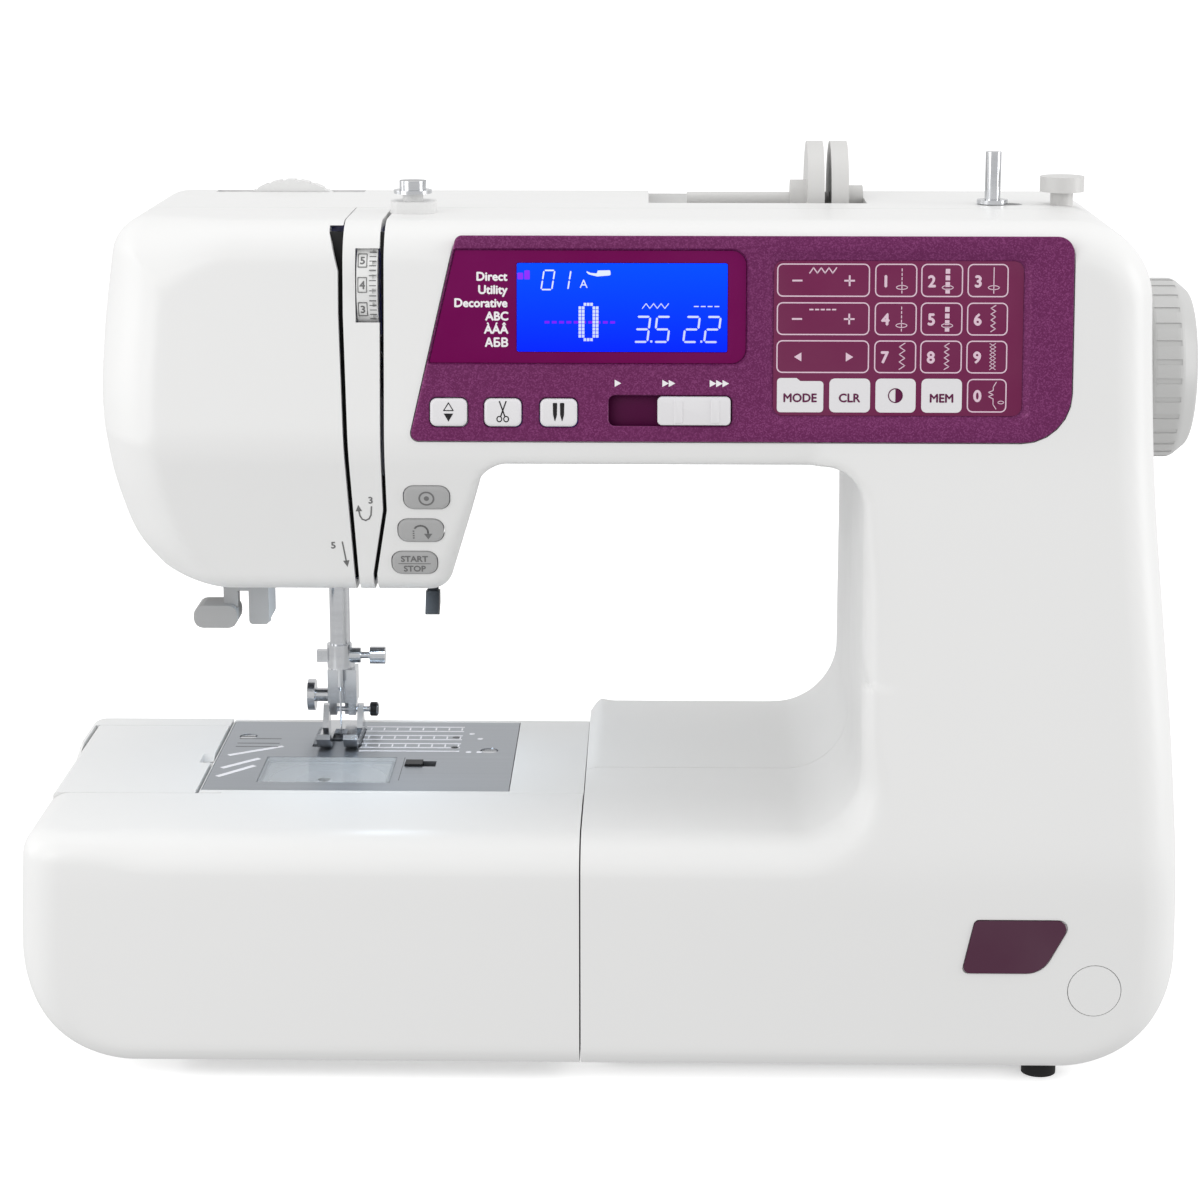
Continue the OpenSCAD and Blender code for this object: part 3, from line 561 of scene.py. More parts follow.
def glow(name, c0, c1, strength, axis="Z", lo=0.25, hi=0.28):
    """Back-lit plastic whose light changes softly over its height."""
    m, nt, b = tree(name)
    tc = put(nt, "ShaderNodeTexCoord", -1100, 0)
    sp = put(nt, "ShaderNodeSeparateXYZ", -900, 0)
    nt.links.new(tc.outputs["Object"], sp.inputs["Vector"])
    mr = put(nt, "ShaderNodeMapRange", -700, 0)
    mr.inputs["From Min"].default_value = lo
    mr.inputs["From Max"].default_value = hi
    nt.links.new(sp.outputs[axis], mr.inputs["Value"])
    colour = two_tone(nt, mr.outputs["Result"], c0, c1)
    nt.links.new(colour, b.inputs["Emission Color"])
    nt.links.new(colour, b.inputs["Base Color"])
    b.inputs["Emission Strength"].default_value = strength
    b.inputs["Specular IOR Level"].default_value = 0.05
    b.inputs["Roughness"].default_value = 0.5
    return m


def clear(name, c, rough=0.08, alpha=0.3):
    """Clear plastic, drawn as thin as alpha says."""
    m, nt, b = tree(name)
    tc = noise_mix(nt, b, c, tuple(min(1, k + 0.04) for k in c), 80)
    rough_mix(nt, b, tc, 120, rough, rough + 0.05)
    b.inputs["Alpha"].default_value = alpha
    b.inputs["IOR"].default_value = 1.49
    return m


WHITE = plastic("casing_plastic", (0.765, 0.765, 0.76), 0.34, 0.003, 1500, 0.000004, spec=0.3)
WHITE_IN = plastic("small_white_plastic", (0.74, 0.74, 0.735), 0.34, 0.01)
KEY_WHITE = plastic("key_white_plastic", (0.72, 0.71, 0.725), 0.34, 0.01)
KEY_GREY = plastic("key_grey_plastic", (0.40, 0.40, 0.40), 0.45, 0.01, spec=0.3)
BLACK = plastic("black_plastic", (0.012, 0.012, 0.013), 0.45, 0.004, 1800, 0.00004, spec=0.3)
RUBBER = plastic("foot_rubber", (0.02, 0.02, 0.02), 0.75, 0.006, 900, 0.0001, spec=0.2)
PURPLE = sparkle("panel_lacquer", (0.128, 0.012, 0.084), (0.215, 0.04, 0.155))
EDGE_PURPLE = plastic("panel_edge", (0.075, 0.006, 0.045), 0.4, 0.01, spec=0.1)
LENS = plastic("window_tint", (0.150, 0.004, 0.078), 0.2, 0.01, 400, 0.000003, spec=0.06)
FILM = plastic("keypad_film", (0.170, 0.030, 0.085), 0.5, 0.012, 3000, 0.00002, spec=0.1)
BADGE = plastic("badge_film", (0.085, 0.033, 0.058), 0.5, 0.01, spec=0.2)
PRINT_PINK = plastic("keypad_print", (0.70, 0.52, 0.62), 0.5, 0.02, spec=0.2)
PRINT_WHITE = plastic("white_print", (0.82, 0.80, 0.82), 0.5, 0.02, spec=0.2)
PRINT_GREY = plastic("grey_print", (0.18, 0.18, 0.18), 0.55, 0.02, spec=0.2)
PRINT_BLACK = plastic("black_print", (0.015, 0.014, 0.015), 0.5, 0.004, spec=0.2)
PRINT_PURPLE = plastic("purple_print", (0.11, 0.015, 0.06), 0.5, 0.01, spec=0.2)
STEEL = metal("brushed_steel", (0.42, 0.44, 0.47), 0.38, (9, 1400, 9), 0.05, 0.2)
CHROME = metal("plated_steel", (0.62, 0.63, 0.65), 0.16, (40, 40, 400), 0.05, 0.08)
ALLOY = metal("cast_alloy", (0.5, 0.5, 0.51), 0.5, (160, 160, 160), 0.08, 0.4)
LCD = glow("display_backlight", (0.0, 0.008, 0.90), (0.0, 0.04, 1.0), 1.0, "Z", 0.25, 0.282)
LCD_INK = glow("display_segments", (0.30, 0.34, 0.95), (0.42, 0.46, 1.0), 0.9)
LCD_VIOLET = glow("display_marks", (0.10, 0.0, 0.62), (0.16, 0.02, 0.72), 0.8)
CLEAR = clear("clear_plastic", (0.80, 0.83, 0.85), alpha=0.34)
WHEEL = plastic("wheel_plastic", (0.52, 0.52, 0.515), 0.38, 0.01)
SPOOL = plastic("spool_plastic", (0.60, 0.595, 0.585), 0.36, 0.01)
PAINT = plastic("dark_paint", (0.03, 0.03, 0.032), 0.4, 0.008)

# ------------------------------------------------------------------ camera, light, floor
CAM_LENS, CAM_SENSOR = 90, 36                # mm
CAM_AT = (0.0157, -1.061, 0.4027)            # m
CAM_DOWN, CAM_TURN = 13.315, 1.115           # degrees below level, and to the left
SKY_LOW, SKY_HIGH, SKY_POWER = 0.80, 1.0, 0.92

cam = bpy.data.cameras.new("camera")
cam.lens = CAM_LENS
cam.sensor_width = CAM_SENSOR
cam_ob = bpy.data.objects.new("camera", cam)
cam_ob.location = CAM_AT
cam_ob.rotation_euler = (math.radians(90 - CAM_DOWN), 0, math.radians(CAM_TURN))
scene.collection.objects.link(cam_ob)
scene.camera = cam_ob
scene.view_settings.view_transform = "Standard"


def sky():
    """White surroundings, a little brighter overhead than at the horizon."""
    world = bpy.data.worlds.new("world")
    scene.world = world
    world.use_nodes = True
    nt = world.node_tree
    back = nt.nodes["Background"]
    coord = nt.nodes.new("ShaderNodeTexCoord")
    axes = nt.nodes.new("ShaderNodeSeparateXYZ")
    height = nt.nodes.new("ShaderNodeMapRange")
    height.inputs["From Min"].default_value = -1.0
    height.inputs["From Max"].default_value = 1.0
    nt.links.new(coord.outputs["Generated"], axes.inputs["Vector"])
    nt.links.new(axes.outputs["Z"], height.inputs["Value"])
    colour = two_tone(nt, height.outputs["Result"], [SKY_LOW] * 3, [SKY_HIGH] * 3, 0.30, 0.92)
    nt.links.new(colour, back.inputs["Color"])
    back.inputs[1].default_value = SKY_POWER


sky()


def area(name, loc, target, size, power, col=(1, 1, 1)):
    """A soft rectangular light at loc, turned to target (m, W)."""
    li = bpy.data.lights.new(name, "AREA")
    li.shape = "RECTANGLE"
    li.size, li.size_y = size
    li.energy = power
    li.color = col
    ob = bpy.data.objects.new(name, li)
    ob.location = loc
    d = Vector(target) - Vector(loc)
    ob.rotation_euler = d.to_track_quat("-Z", "Y").to_euler()
    scene.collection.objects.link(ob)
    return ob


area("key", (-0.95, -1.05, 0.9), (-0.12, 0, 0.18), (0.7, 0.7), 3.2)
area("top", (0.0, 0.1, 1.5), (0, 0, 0.1), (1.4, 1.0), 3)
area("right_rim", (1.3, -0.2, 0.5), (0.18, 0, 0.18), (0.6, 0.9), 6.5)
area("left_rim", (-1.4, 0.15, 0.5), (-0.18, 0, 0.18), (0.6, 0.9), 2.5)
area("left_fill", (-0.75, -0.55, 0.32), (0.08, 0.0, 0.16), (0.5, 0.4), 1.2)
area("lamp", (-0.085, 0.0, 0.162), (-0.100, 0.010, 0.088), (0.03, 0.012), 0.035,
     (0.72, 0.86, 1.0))

floor_me = bpy.data.meshes.new("floor")
floor_me.from_pydata([(-12, -4, 0), (12, -4, 0), (12, 26, 0), (-12, 26, 0)], [], [(0, 1, 2, 3)])
FLOOR = plastic("floor_paint", (0.9, 0.9, 0.9), 0.8, 0.01, 200, 0.0001, spec=0.1)
floor_shader = FLOOR.node_tree.nodes["Principled BSDF"]
floor_shader.inputs["Emission Color"].default_value = (1, 1, 1, 1)
floor_shader.inputs["Emission Strength"].default_value = 0.42
floor_me.materials.append(FLOOR)
floor = bpy.data.objects.new("floor", floor_me)
scene.collection.objects.link(floor)
floor.visible_diffuse = False
floor.visible_glossy = False

# ------------------------------------------------------------------ white casing pieces
GRID = 1.7
outer = surface(casing, (-212, -96, 0), (202, 84, 300), GRID)
inner = surface(lambda x, y, z: casing(x, y, z) + WALL, (-210, -94, 2), (200, 82, 298), 3.0)
shell = cut(outer.copy(), inner)

# seen from the front: face cover, strip between the two thread slots, front cover
FACE_ZONE = [(-200, 100), (-87.8, 150), (-88.9, 165), (-90.6, 219), (-92, 264), (-92, 278),
             (-95.2, 291), (-95.2, 292.5), (-90.7, 292.5), (-90.7, 320), (-200, 320)]
STRIP_ZONE = [(-86.2, 150), (-82.6, 150), (-82.6, 172), (-78.2, 196), (-77.9, 300),
              (-90.3, 300), (-90.3, 264), (-89, 219), (-87.4, 165)]

face_me = cut(shell.copy(), cutter(FACE_ZONE, "y", -120, SPLIT_Y - 0.15), "INTERSECT")
wrap("face_cover_shell", face_me, WHITE, "machine", ["face_cover"])

strip_me = cut(shell.copy(), cutter(STRIP_ZONE, "y", -120, SPLIT_Y - 0.15), "INTERSECT")
strip_me = cut(strip_me, bx(-86.1, -77, 42.4, 67.2, -10, 5, FACE))
wrap("thread_strip_shell", strip_me, WHITE, "machine", ["thread_strip"])

front_me = cut(shell.copy(), cutter([
    (SEAM_X + 0.1, 0), (SEAM_X + 0.1, 120), (-81.2, 150), (-81.2, 172), (-76.8, 196), (-76.4, 300),
    (220, 300), (220, 0)], "y", -120, SPLIT_Y - 0.15), "INTERSECT")
panel_seat = soft([(-68.7, 2.2, 3), (155.1, 2.2, 17), (155.1, 72.0, 6), (-52.5, 72.0, 3)])
cuts = [cutter(panel_seat, "z", -1.8, 6, FACE),
        cutter(soft([(-64.2, 5.8, 2), (143, 5.8, 2), (143, 68, 2), (-49.6, 68, 2)]), "z", -7, 6,
               FACE)]
HEAD_KEYS = [(-63, 38), (-65.4, 25), (-68, 12.1)]
for kx, ky in HEAD_KEYS:
    cuts.append(cutter(rrect(kx - 8.1, ky - 4.7, kx + 8.1, ky + 4.7, 3.8), "z", -8, 5, HEAD))
cuts.append(cutter(soft([(120.2, 42, 2), (148, 42, 9), (158.2, 61.4, 3), (124.4, 61.4, 2)]),
                   "y", FRONT_Y - 4, FRONT_Y + 0.8))
cuts.append(cutter(disc(166, 36, 9.25), "y", FRONT_Y - 4, FRONT_Y + 1.2))
cuts.append(bx(-20, 0, -20, 0, 36, 82))
cuts.append(bx(-2, 150, -70, 60, 0, 14))
front_me = cut_all(front_me, cuts)
wrap("front_cover_shell", front_me, WHITE, "machine", ["front_cover"])

rear_me = cut(shell.copy(), cutter([
    (SEAM_X + 0.1, 0), (SEAM_X + 0.1, 120), (-200, 140), (-200, 310), (220, 310), (220, 0)], "y",
    SPLIT_Y + 0.15, 120), "INTERSECT")


def tube_x(x0, x1, y, z, r, n=48):
    return cutter(disc(y, z, r, n), "x", x0, x1)


trough = cut(cut(tube_x(9, 93, 40, TOP_Z - 1, 29), outer.copy(), "INTERSECT"),
             bx(-1, 100, 4, 76, 250, 310), "INTERSECT")
rear_me = cut(rear_me, trough, "UNION")
for ex in (-66.5, 126.5):
    ear = cutter(soft([(72, 274, 1), (83, 277, 4), (88.4, 282, 4), (88.4, 287, 4), (82, 290.6, 4),
                       (72, 290.6, 1)]), "x", ex, ex + 6)
    rear_me = cut(rear_me, ear, "UNION")
rear_me = cut(rear_me, cutter(disc(-120.5, 272.5, 6), "y", 59.5, 76), "UNION")
rear_me = cut_all(rear_me, [
    tube_x(12, 90, 40, TOP_Z - 1, 26),
    tube_x(-67, -60, 83, 284, 2.58), tube_x(126, 133, 83, 284, 2.58),
    cutter(disc(-120.5, 272.5, 3.05), "y", 59, 72),
    bx(-148, -93, 51.4, 58.6, 280, 310),
    cutter(rrect(130, 8, 145, 16, 3.9), "z", 280, 310),
    cutter(disc(158.8, 12, 4.05), "z", 280, 310),
    tube_x(175, 200, 10, 236, 9),
    bx(-160, -60, SPLIT_Y + 5, 62, 150, 175),
    cutter(disc(-104, 200, 4.3), "y", 60, 90),
    bx(180, 200, 20, 64, 36, 92),
    bx(-20, 0, -5, 58, 36, 82),
    bx(-2, 150, -70, 60, 0, 14)])
wrap("rear_cover_shell", rear_me, WHITE, "machine", ["rear_cover"])

table_me = cut(outer.copy(), bx(-220, SEAM_X - 0.4, -120, 90, 0, 120), "INTERSECT")
hollow = cut(inner.copy(), bx(-149.2, SEAM_X - 0.4 - WALL, -120, -36, 0, 120), "INTERSECT")
well = cut(inner.copy(), bx(-220, -152.2, -120, 90, 0, 85.3), "INTERSECT")
table_me = cut_all(table_me, [
    bx(-149.2, 0, -33, 80, 0, 120), hollow, bx(-149.2, -17, -82, -39, 0, 40), well,
    bx(-196, -152.2, -31.5, 51.5, 80, 100),
    bx(-199, -140, -34.6, 54.6, BED_Z - 2.6, BED_Z + 5),
    cutter([(-198.9, 85.6), (-201.0, 85.6), (-201.8, 92), (-198.9, 92)], "y", -34.6, 54.6),
    cutter(disc(-199, BED_Z - 1.6, 1.75, 24), "y", -34.6, 54.6)])
wrap("extension_table_shell", table_me, WHITE, "extension_table",
     ["extension_table"])

# dark walls behind the two thread slots: black sheets that stand in for the shade inside the head
# (painted shade); and the floor of the speed slot
SLOT_SHADE_SHEET = [(-51, 290.6), (-51, 215), (-36, 168), (-34, 168), (-49, 215), (-49, 290.6)]
for n, x0, x1 in (("left", -97.0, -87.4), ("right", -78.0, -72.2)):
    wrap("slot_painted_shade_" + n, cutter(SLOT_SHADE_SHEET, "x", x0, x1), BLACK, "machine")
# the lower black sheet, below the tension dial, is painted shade too
wrap("slot_painted_shade_low", cutter([(-46.6, 206), (-36, 168), (-34, 168), (-44.6, 206)], "x", -85.0,
                               -77.9), BLACK, "machine")
loft("speed_slot_floor", rrect(-2.0, 6.8, 41.8, 19.4, 2.0), [(0, -3.2), (0, -2.6), (0.2, -2.5)],
     EDGE_PURPLE, "machine", FACE, slot="panel_purple")

# ------------------------------------------------------------------ print and fine lines
GLYPHS = {}


def glyph(ch):
    """Outline mesh of one line of generic lettering, size 1, left-aligned."""
    if ch not in GLYPHS:
        cu = bpy.data.curves.new("glyph", "FONT")
        cu.body = ch
        cu.size = 1.0
        cu.resolution_u = 3
        ob = bpy.data.objects.new("glyph", cu)
        me = bpy.data.meshes.new_from_object(ob)
        v = np.array([p.co[:2] for p in me.vertices]).reshape(-1, 2)
        f = [list(q.vertices) for q in me.polygons]
        GLYPHS[ch] = (v, f)
        bpy.data.objects.remove(ob)
    return GLYPHS[ch]


class Ink:
    """Thin raised print collected into one piece, drawn in a plane of its own."""

    def __init__(self, name, tf, z0, z1):
        self.name, self.tf, self.z0, self.z1 = name, tf, z0, z1
        self.v, self.f = [], []

    def poly(self, pts):
        n, b = len(pts), len(self.v)
        a = sum(pts[i][0] * pts[(i + 1) % n][1] - pts[(i + 1) % n][0] * pts[i][1]
                for i in range(n))
        if a < 0:
            pts = pts[::-1]
        self.v += [(x, y, self.z0) for x, y in pts] + [(x, y, self.z1) for x, y in pts]
        self.f.append(list(range(b + n - 1, b - 1, -1)))
        self.f.append(list(range(b + n, b + 2 * n)))
        for i in range(n):
            j = (i + 1) % n
            self.f.append([b + i, b + j, b + n + j, b + n + i])

    def box(self, x0, y0, x1, y1, r=0.0):
        self.poly(rrect(x0, y0, x1, y1, r, 4) if r else [(x0, y0), (x1, y0), (x1, y1), (x0, y1)])

    def line(self, pts, w, closed=False):
        pts = [np.array(p, float) for p in pts]
        m = len(pts)
        for i in range(m if closed else m - 1):
            a, b = pts[i], pts[(i + 1) % m]
            d = b - a
            ln = np.linalg.norm(d)
            if ln < 1e-6:
                continue
            d = d / ln
            nrm = np.array([-d[1], d[0]]) * w / 2
            a, b = a - d * w * 0.35, b + d * w * 0.35
            self.poly([tuple(a - nrm), tuple(b - nrm), tuple(b + nrm), tuple(a + nrm)])

    def frame(self, pts, w):
        """A closed outline of width w as one strip."""
        q = inset(pts, w)
        n, b = len(pts), len(self.v)
        p = np.array(pts, float)
        for z in (self.z0, self.z1):
            self.v += [(x, y, z) for x, y in p] + [(x, y, z) for x, y in q]
        for i in range(n):
            j = (i + 1) % n
            o0, o1, i0, i1 = b + i, b + j, b + n + i, b + n + j
            t = 2 * n
            self.f += [[o0 + t, o1 + t, i1 + t, i0 + t], [o1, o0, i0, i1],
                       [o0, o1, o1 + t, o0 + t], [i1, i0, i0 + t, i1 + t]]

    def text(self, s, x, y, size, align="c", weight=0.0):
        """Lettering with its middle height at y; weight thickens it."""
        v, f = glyph(s)
        if not len(v):
            return
        w = v[:, 0].max() + v[:, 0].min()
        cap = 0.70
        x0 = {"c": x - w * size / 2, "r": x - w * size, "l": x}[align]
        offs = [(0, 0)] if not weight else [(-weight, 0), (weight, 0), (0, weight), (0, -weight)]
        for k, (dx, dy) in enumerate(offs):
            b, n = len(self.v), len(v)
            up = self.z1 + 0.004 * k
            for z in (self.z0, up):
                self.v += [(a * size + x0 + dx, c * size + y - cap * size / 2 + dy, z)
                           for a, c in v]
            edges = {}
            for q in f:
                self.f.append([b + n + i for i in q])
                self.f.append([b + i for i in reversed(q)])
                for i in range(len(q)):
                    e = (q[i], q[(i + 1) % len(q)])
                    if (e[1], e[0]) in edges:
                        del edges[(e[1], e[0])]
                    else:
                        edges[e] = 1
            for i, j in edges:
                self.f.append([b + i, b + j, b + n + j, b + n + i])

    def done(self, mat, body, slot):
        return make(self.name, self.v, self.f, mat, body, slot, self.tf, smooth=0)


def zigzag(x0, x1, y0, y1, n):
    return [(x0 + (x1 - x0) * k / n, y0 if k % 2 == 0 else y1) for k in range(n + 1)]


SEG = {"0": "abcdef", "1": "bc", "2": "abged", "3": "abgcd", "5": "afgcd"}


def seven(ink, ch, x, y, w, h, t, lean=0.12):
    """A seven-segment figure with its lower left corner at x, y."""
    g = 0.16 * t
    ends = {"a": ((0, 1), (1, 1)), "b": ((1, 1), (1, .5)), "c": ((1, .5), (1, 0)),
            "d": ((0, 0), (1, 0)), "e": ((0, .5), (0, 0)), "f": ((0, 1), (0, .5)),
            "g": ((0, .5), (1, .5))}
    for s in SEG[ch]:
        (ax, ay), (bx_, by) = ends[s]
        p = [(x + ax * w + lean * ay * h, y + ay * h), (x + bx_ * w + lean * by * h, y + by * h)]
        a, b = np.array(p[0]), np.array(p[1])
        d = (b - a) / np.linalg.norm(b - a)
        nrm = np.array([-d[1], d[0]]) * t / 2
        a, b = a + d * (g + t * .15), b - d * (g + t * .15)
        ink.poly([tuple(a), tuple(a + d * t / 2 - nrm), tuple(b - d * t / 2 - nrm), tuple(b),
                  tuple(b - d * t / 2 + nrm), tuple(a + d * t / 2 + nrm)])


# control panel with its sunk display window and keypad
# shapes on the control face, in mm: (x, y up the face, corner radius)
PANEL = soft([(-68.3, 2.6, 2.6), (154.7, 2.6, 16.6), (154.7, 71.6, 5.6), (-52.2, 71.6, 2.6)], 10)
WINDOW = soft([(-62.2, 28.3, 1.2), (45.9, 28.3, 5.5), (45.9, 67.4, 5.5), (-53.0, 67.4, 1.2)], 8)
TRAY = rrect(51.2, 8.4, 141.2, 66.6, 5.5, 8)
SCREEN_HOLE = rrect(-32.2, 32.5, 39.4, 62.8, 0.8)
SLIDER_SLOT = rrect(-0.9, 7.9, 40.7, 18.3, 2.2)
KEY_HOLE_RINGS = [(0, -3), (0, 0.2), (-0.3, 0.52), (-0.3, 2)]
plate = solid(PANEL, [(0.25, -1.7), (0, -1.3), (0, 0.1), (0.15, 0.36), (0.5, 0.5)], FACE)
pockets = [solid(WINDOW, [(1.2, -0.7), (0.5, -0.3), (0, 0.52), (0, 2)], FACE),
           solid(TRAY, [(3.6, -1.0), (3.0, -0.95), (0.9, 0.1), (0, 0.52), (0, 2)], FACE),
           solid(SCREEN_HOLE, [(0, -3), (0, 2)], FACE),
           solid(SLIDER_SLOT, [(0, -3), (0, 0.25), (-0.35, 0.52), (-0.35, 2)], FACE)]
for kx in (-61.3, -43, -24.2):
    pockets.append(solid(rrect(kx, 7.4, kx + 13.1, 17.4, 2.3), KEY_HOLE_RINGS, FACE))
wrap("control_panel_plate", cut_all(plate, pockets), PURPLE, "machine",
     ["control_panel"])

lens = solid(inset(WINDOW, 0.75), [(0, -0.7), (0, -0.06), (0.25, 0.0)], FACE)
lens = cut(lens, solid(rrect(-31.9, 32.7, 39.1, 62.6, 0.8), [(0, -3), (0, 2)], FACE))
wrap("display_window_lens", lens, LENS, "machine", ["display_window"])

loft("keypad_film", rrect(54.5, 11.6, 138.0, 63.4, 3.2, 6),
     [(0, -0.95), (0, -0.62), (0.15, -0.55)], FILM, "machine", FACE, slot="keypad_film",
     replaces=["keypad"])

# lettering beside the display, and the speed marks
ink = Ink("mode_words", FACE, -0.02, 0.06)
for k, word in enumerate(("Direct", "Utility", "Decorative", "ABC", "\u00c0\u00c1\u00c2",
                          "\u0410\u0411\u0412")):
    ink.text(word, -34.7, 58.0 - 4.42 * k, 4.0, "r", 0.15)
ink.done(PRINT_WHITE, "machine", "key_white")
ink = Ink("speed_marks", FACE, 0.3, 0.56)
for x, n in ((2.2, 1), (19.3, 2), (36.3, 3)):
    for k in range(n):
        a = x + (k - (n - 1) / 2) * 2.15 - 1.0
        ink.poly([(a, 21.1), (a + 2.2, 22.3), (a, 23.5)])
ink.done(PRINT_WHITE, "machine", "key_white")

# keypad legends
ink = Ink("keypad_print", FACE, -0.7, -0.46)
ROWS = [(51.4, 62.5), (38.6, 49.6), (25.9, 36.9)]
COLS = [(88.3, 102.4), (103.7, 117.7), (119.2, 132.9)]
for y0, y1 in ROWS:
    ink.frame(rrect(55.5, y0, 86.6, y1, 2.0), 0.42)
    for x0, x1 in COLS:
        ink.frame(rrect(x0, y0, x1, y1, 2.0), 0.42)
ink.frame(rrect(119.6, 12.8, 132.9, 24.1, 2.0), 0.42)
for y in (56.8, 44.0):
    ink.box(60.6, y - 0.3, 64.0, y + 0.3)
    ink.box(78.0, y - 0.3, 81.6, y + 0.3)
    ink.box(79.5, y - 1.8, 80.1, y + 1.8)
ink.line(zigzag(66.4, 75.4, 59.3, 61.1, 7), 0.4)
for k in range(5):
    ink.box(66.4 + 1.9 * k, 46.9, 67.8 + 1.9 * k, 47.4)
ink.poly([(61.4, 31.3), (63.9, 29.8), (63.9, 32.8)])
ink.poly([(81.3, 31.3), (78.8, 29.8), (78.8, 32.8)])
for k, s in enumerate("123456789"):
    ink.text(s, COLS[k % 3][0] + 3.6, 56.7 - 12.7 * (k // 3), 5.4, "c", 0.2)
ink.text("0", 123.1, 18.4, 5.4, "c", 0.2)
XI = [97.3, 112.6, 128.0]


def stitch_line(x, y0, y1, kind):
    if kind == "dash":
        for k in range(6):
            a = y0 + (y1 - y0) * k / 6
            ink.box(x - 0.16, a, x + 0.16, a + (y1 - y0) / 9)
    elif kind == "line":
        ink.box(x - 0.16, y0, x + 0.16, y1)
    elif kind == "bar":
        for k in range(4):
            a = y0 + (y1 - y0) * k / 4
            ink.box(x - 0.75, a, x + 0.75, a + (y1 - y0) / 5.4)
    elif kind == "zig":
        ink.line([(x + (0.8 if k % 2 else -0.8), y0 + (y1 - y0) * k / 9) for k in range(10)], 0.3)
    elif kind == "wave":
        ink.line([(x + (1.3 if k % 2 else -0.6), y0 + (y1 - y0) * k / 7) for k in range(8)], 0.3)
    elif kind == "net":
        for f in (-1, 1):
            ink.line([(x + f * (1.0 if k % 2 else -1.0), y0 + (y1 - y0) * k / 7)
                      for k in range(8)], 0.22)


def loop_mark(x, y):
    ink.frame([(x + 2.0 * math.cos(2 * math.pi * k / 14), y + 0.8 * math.sin(2 * math.pi * k / 14))
               for k in range(14)], 0.26)


for k, (kind, loop) in enumerate((("dash", 1), ("bar", 1), ("line", 1), ("dash", 1), ("bar", 1),
                                  ("zig", 0), ("wave", 0), ("zig", 0), ("net", 0))):
    x, y = XI[k % 3], 57.0 - 12.7 * (k // 3)
    stitch_line(x, y - 4.4, y + 4.4, kind)
    if loop:
        loop_mark(x, y - 2.4)
ink.line([(129.4, 23.0), (128.4, 21.4), (128.4, 20.2), (126.8, 19.6), (128.4, 18.8), (126.8, 18.2),
          (128.4, 17.4), (128.4, 15.6), (129.4, 14.0)], 0.28)
ink.frame([(131.0 + 1.1 * math.cos(k * math.pi / 5), 16.2 + 0.6 * math.sin(k * math.pi / 5))
           for k in range(10)], 0.24)
ink.done(PRINT_PINK, "machine", "key_white")

white_keys = Ink("keypad_white_keys", FACE, -0.7, -0.40)
white_keys.poly(soft([(55.8, 12.7, 1.2), (71.4, 12.7, 1.2), (71.4, 23.2, 1.2), (63.6, 23.2, 0.6),
                      (62.4, 24.2, 0.6), (55.8, 24.2, 1.2)], 4))
for x0, x1 in ((73.4, 87.1), (88.9, 102.4), (104.3, 117.9)):
    white_keys.poly(rrect(x0, 12.7, x1, 24.1, 1.8))
white_keys.done(KEY_WHITE, "machine", "key_white")
ink = Ink("keypad_dark_print", FACE, -0.5, -0.34)
for word, x in (("MODE", 63.6), ("CLR", 80.2), ("MEM", 111.1)):
    ink.text(word, x, 17.6, 4.0, "c", 0.12)
ink.frame(disc(95.6, 18.4, 2.5, 24), 0.36)
ink.poly([(95.6 + 2.3 * math.cos(math.pi / 2 - math.pi * k / 12),
           18.4 + 2.3 * math.sin(math.pi / 2 - math.pi * k / 12)) for k in range(13)])
ink.done(PRINT_PURPLE, "machine", "keypad_film")

# what the display shows
ink = Ink("display_figures", FACE, 0.1, 0.26)
seven(ink, "0", -23.6, 53.6, 3.6, 6.4, 0.5, 0.16)
seven(ink, "1", -18.2, 53.6, 3.6, 6.4, 0.5, 0.16)
ink.text("A", -9.3, 55.6, 4.0, "c")
for (x, ch) in ((7.6, "3"), (14.4, "5"), (24.2, "2"), (31.2, "2")):
    seven(ink, ch, x, 36.2, 4.5, 8.4, 0.7, 0.12)
for x in (13.1, 29.9):
    ink.box(x, 36.0, x + 0.7, 36.7)
ink.line(zigzag(10.4, 19.2, 47.4, 49.0, 7), 0.28)
for k in range(4):
    ink.box(27.7 + 2.3 * k, 47.9, 29.3 + 2.3 * k, 48.25)
for k in range(11):
    if k not in (0, 10):
        for x in (-11.0, -9.9, -6.3, -5.2):
            ink.box(x, 36.4 + 1.18 * k, x + 0.9, 37.4 + 1.18 * k)
for y in (36.4, 48.2):
    for x in (-9.3, -8.2, -7.1):
        ink.box(x, y, x + 0.9, y + 1.0)
ink.poly(soft([(-9.2, 60.2, 0.2), (-7.0, 59.2, 0.6), (-4.8, 59.0, 0.5), (-4.6, 60.0, 0.3),
               (-0.4, 60.1, 0.4), (-0.2, 58.4, 0.5), (-4.8, 58.0, 0.6), (-7.6, 58.7, 0.6)], 3))
ink.done(LCD_INK, "machine", "display_blue")
ink = Ink("display_marks", FACE, 0.1, 0.24)
for k in range(10):
    ink.box(-22.4 + 2.45 * k, 42.3, -20.8 + 2.45 * k, 43.1)
ink.box(-31.5, 57.0, -29.6, 59.2, 0.3)
ink.box(-29.2, 57.0, -27.4, 60.0, 0.3)
ink.done(LCD_VIOLET, "machine", "display_blue")

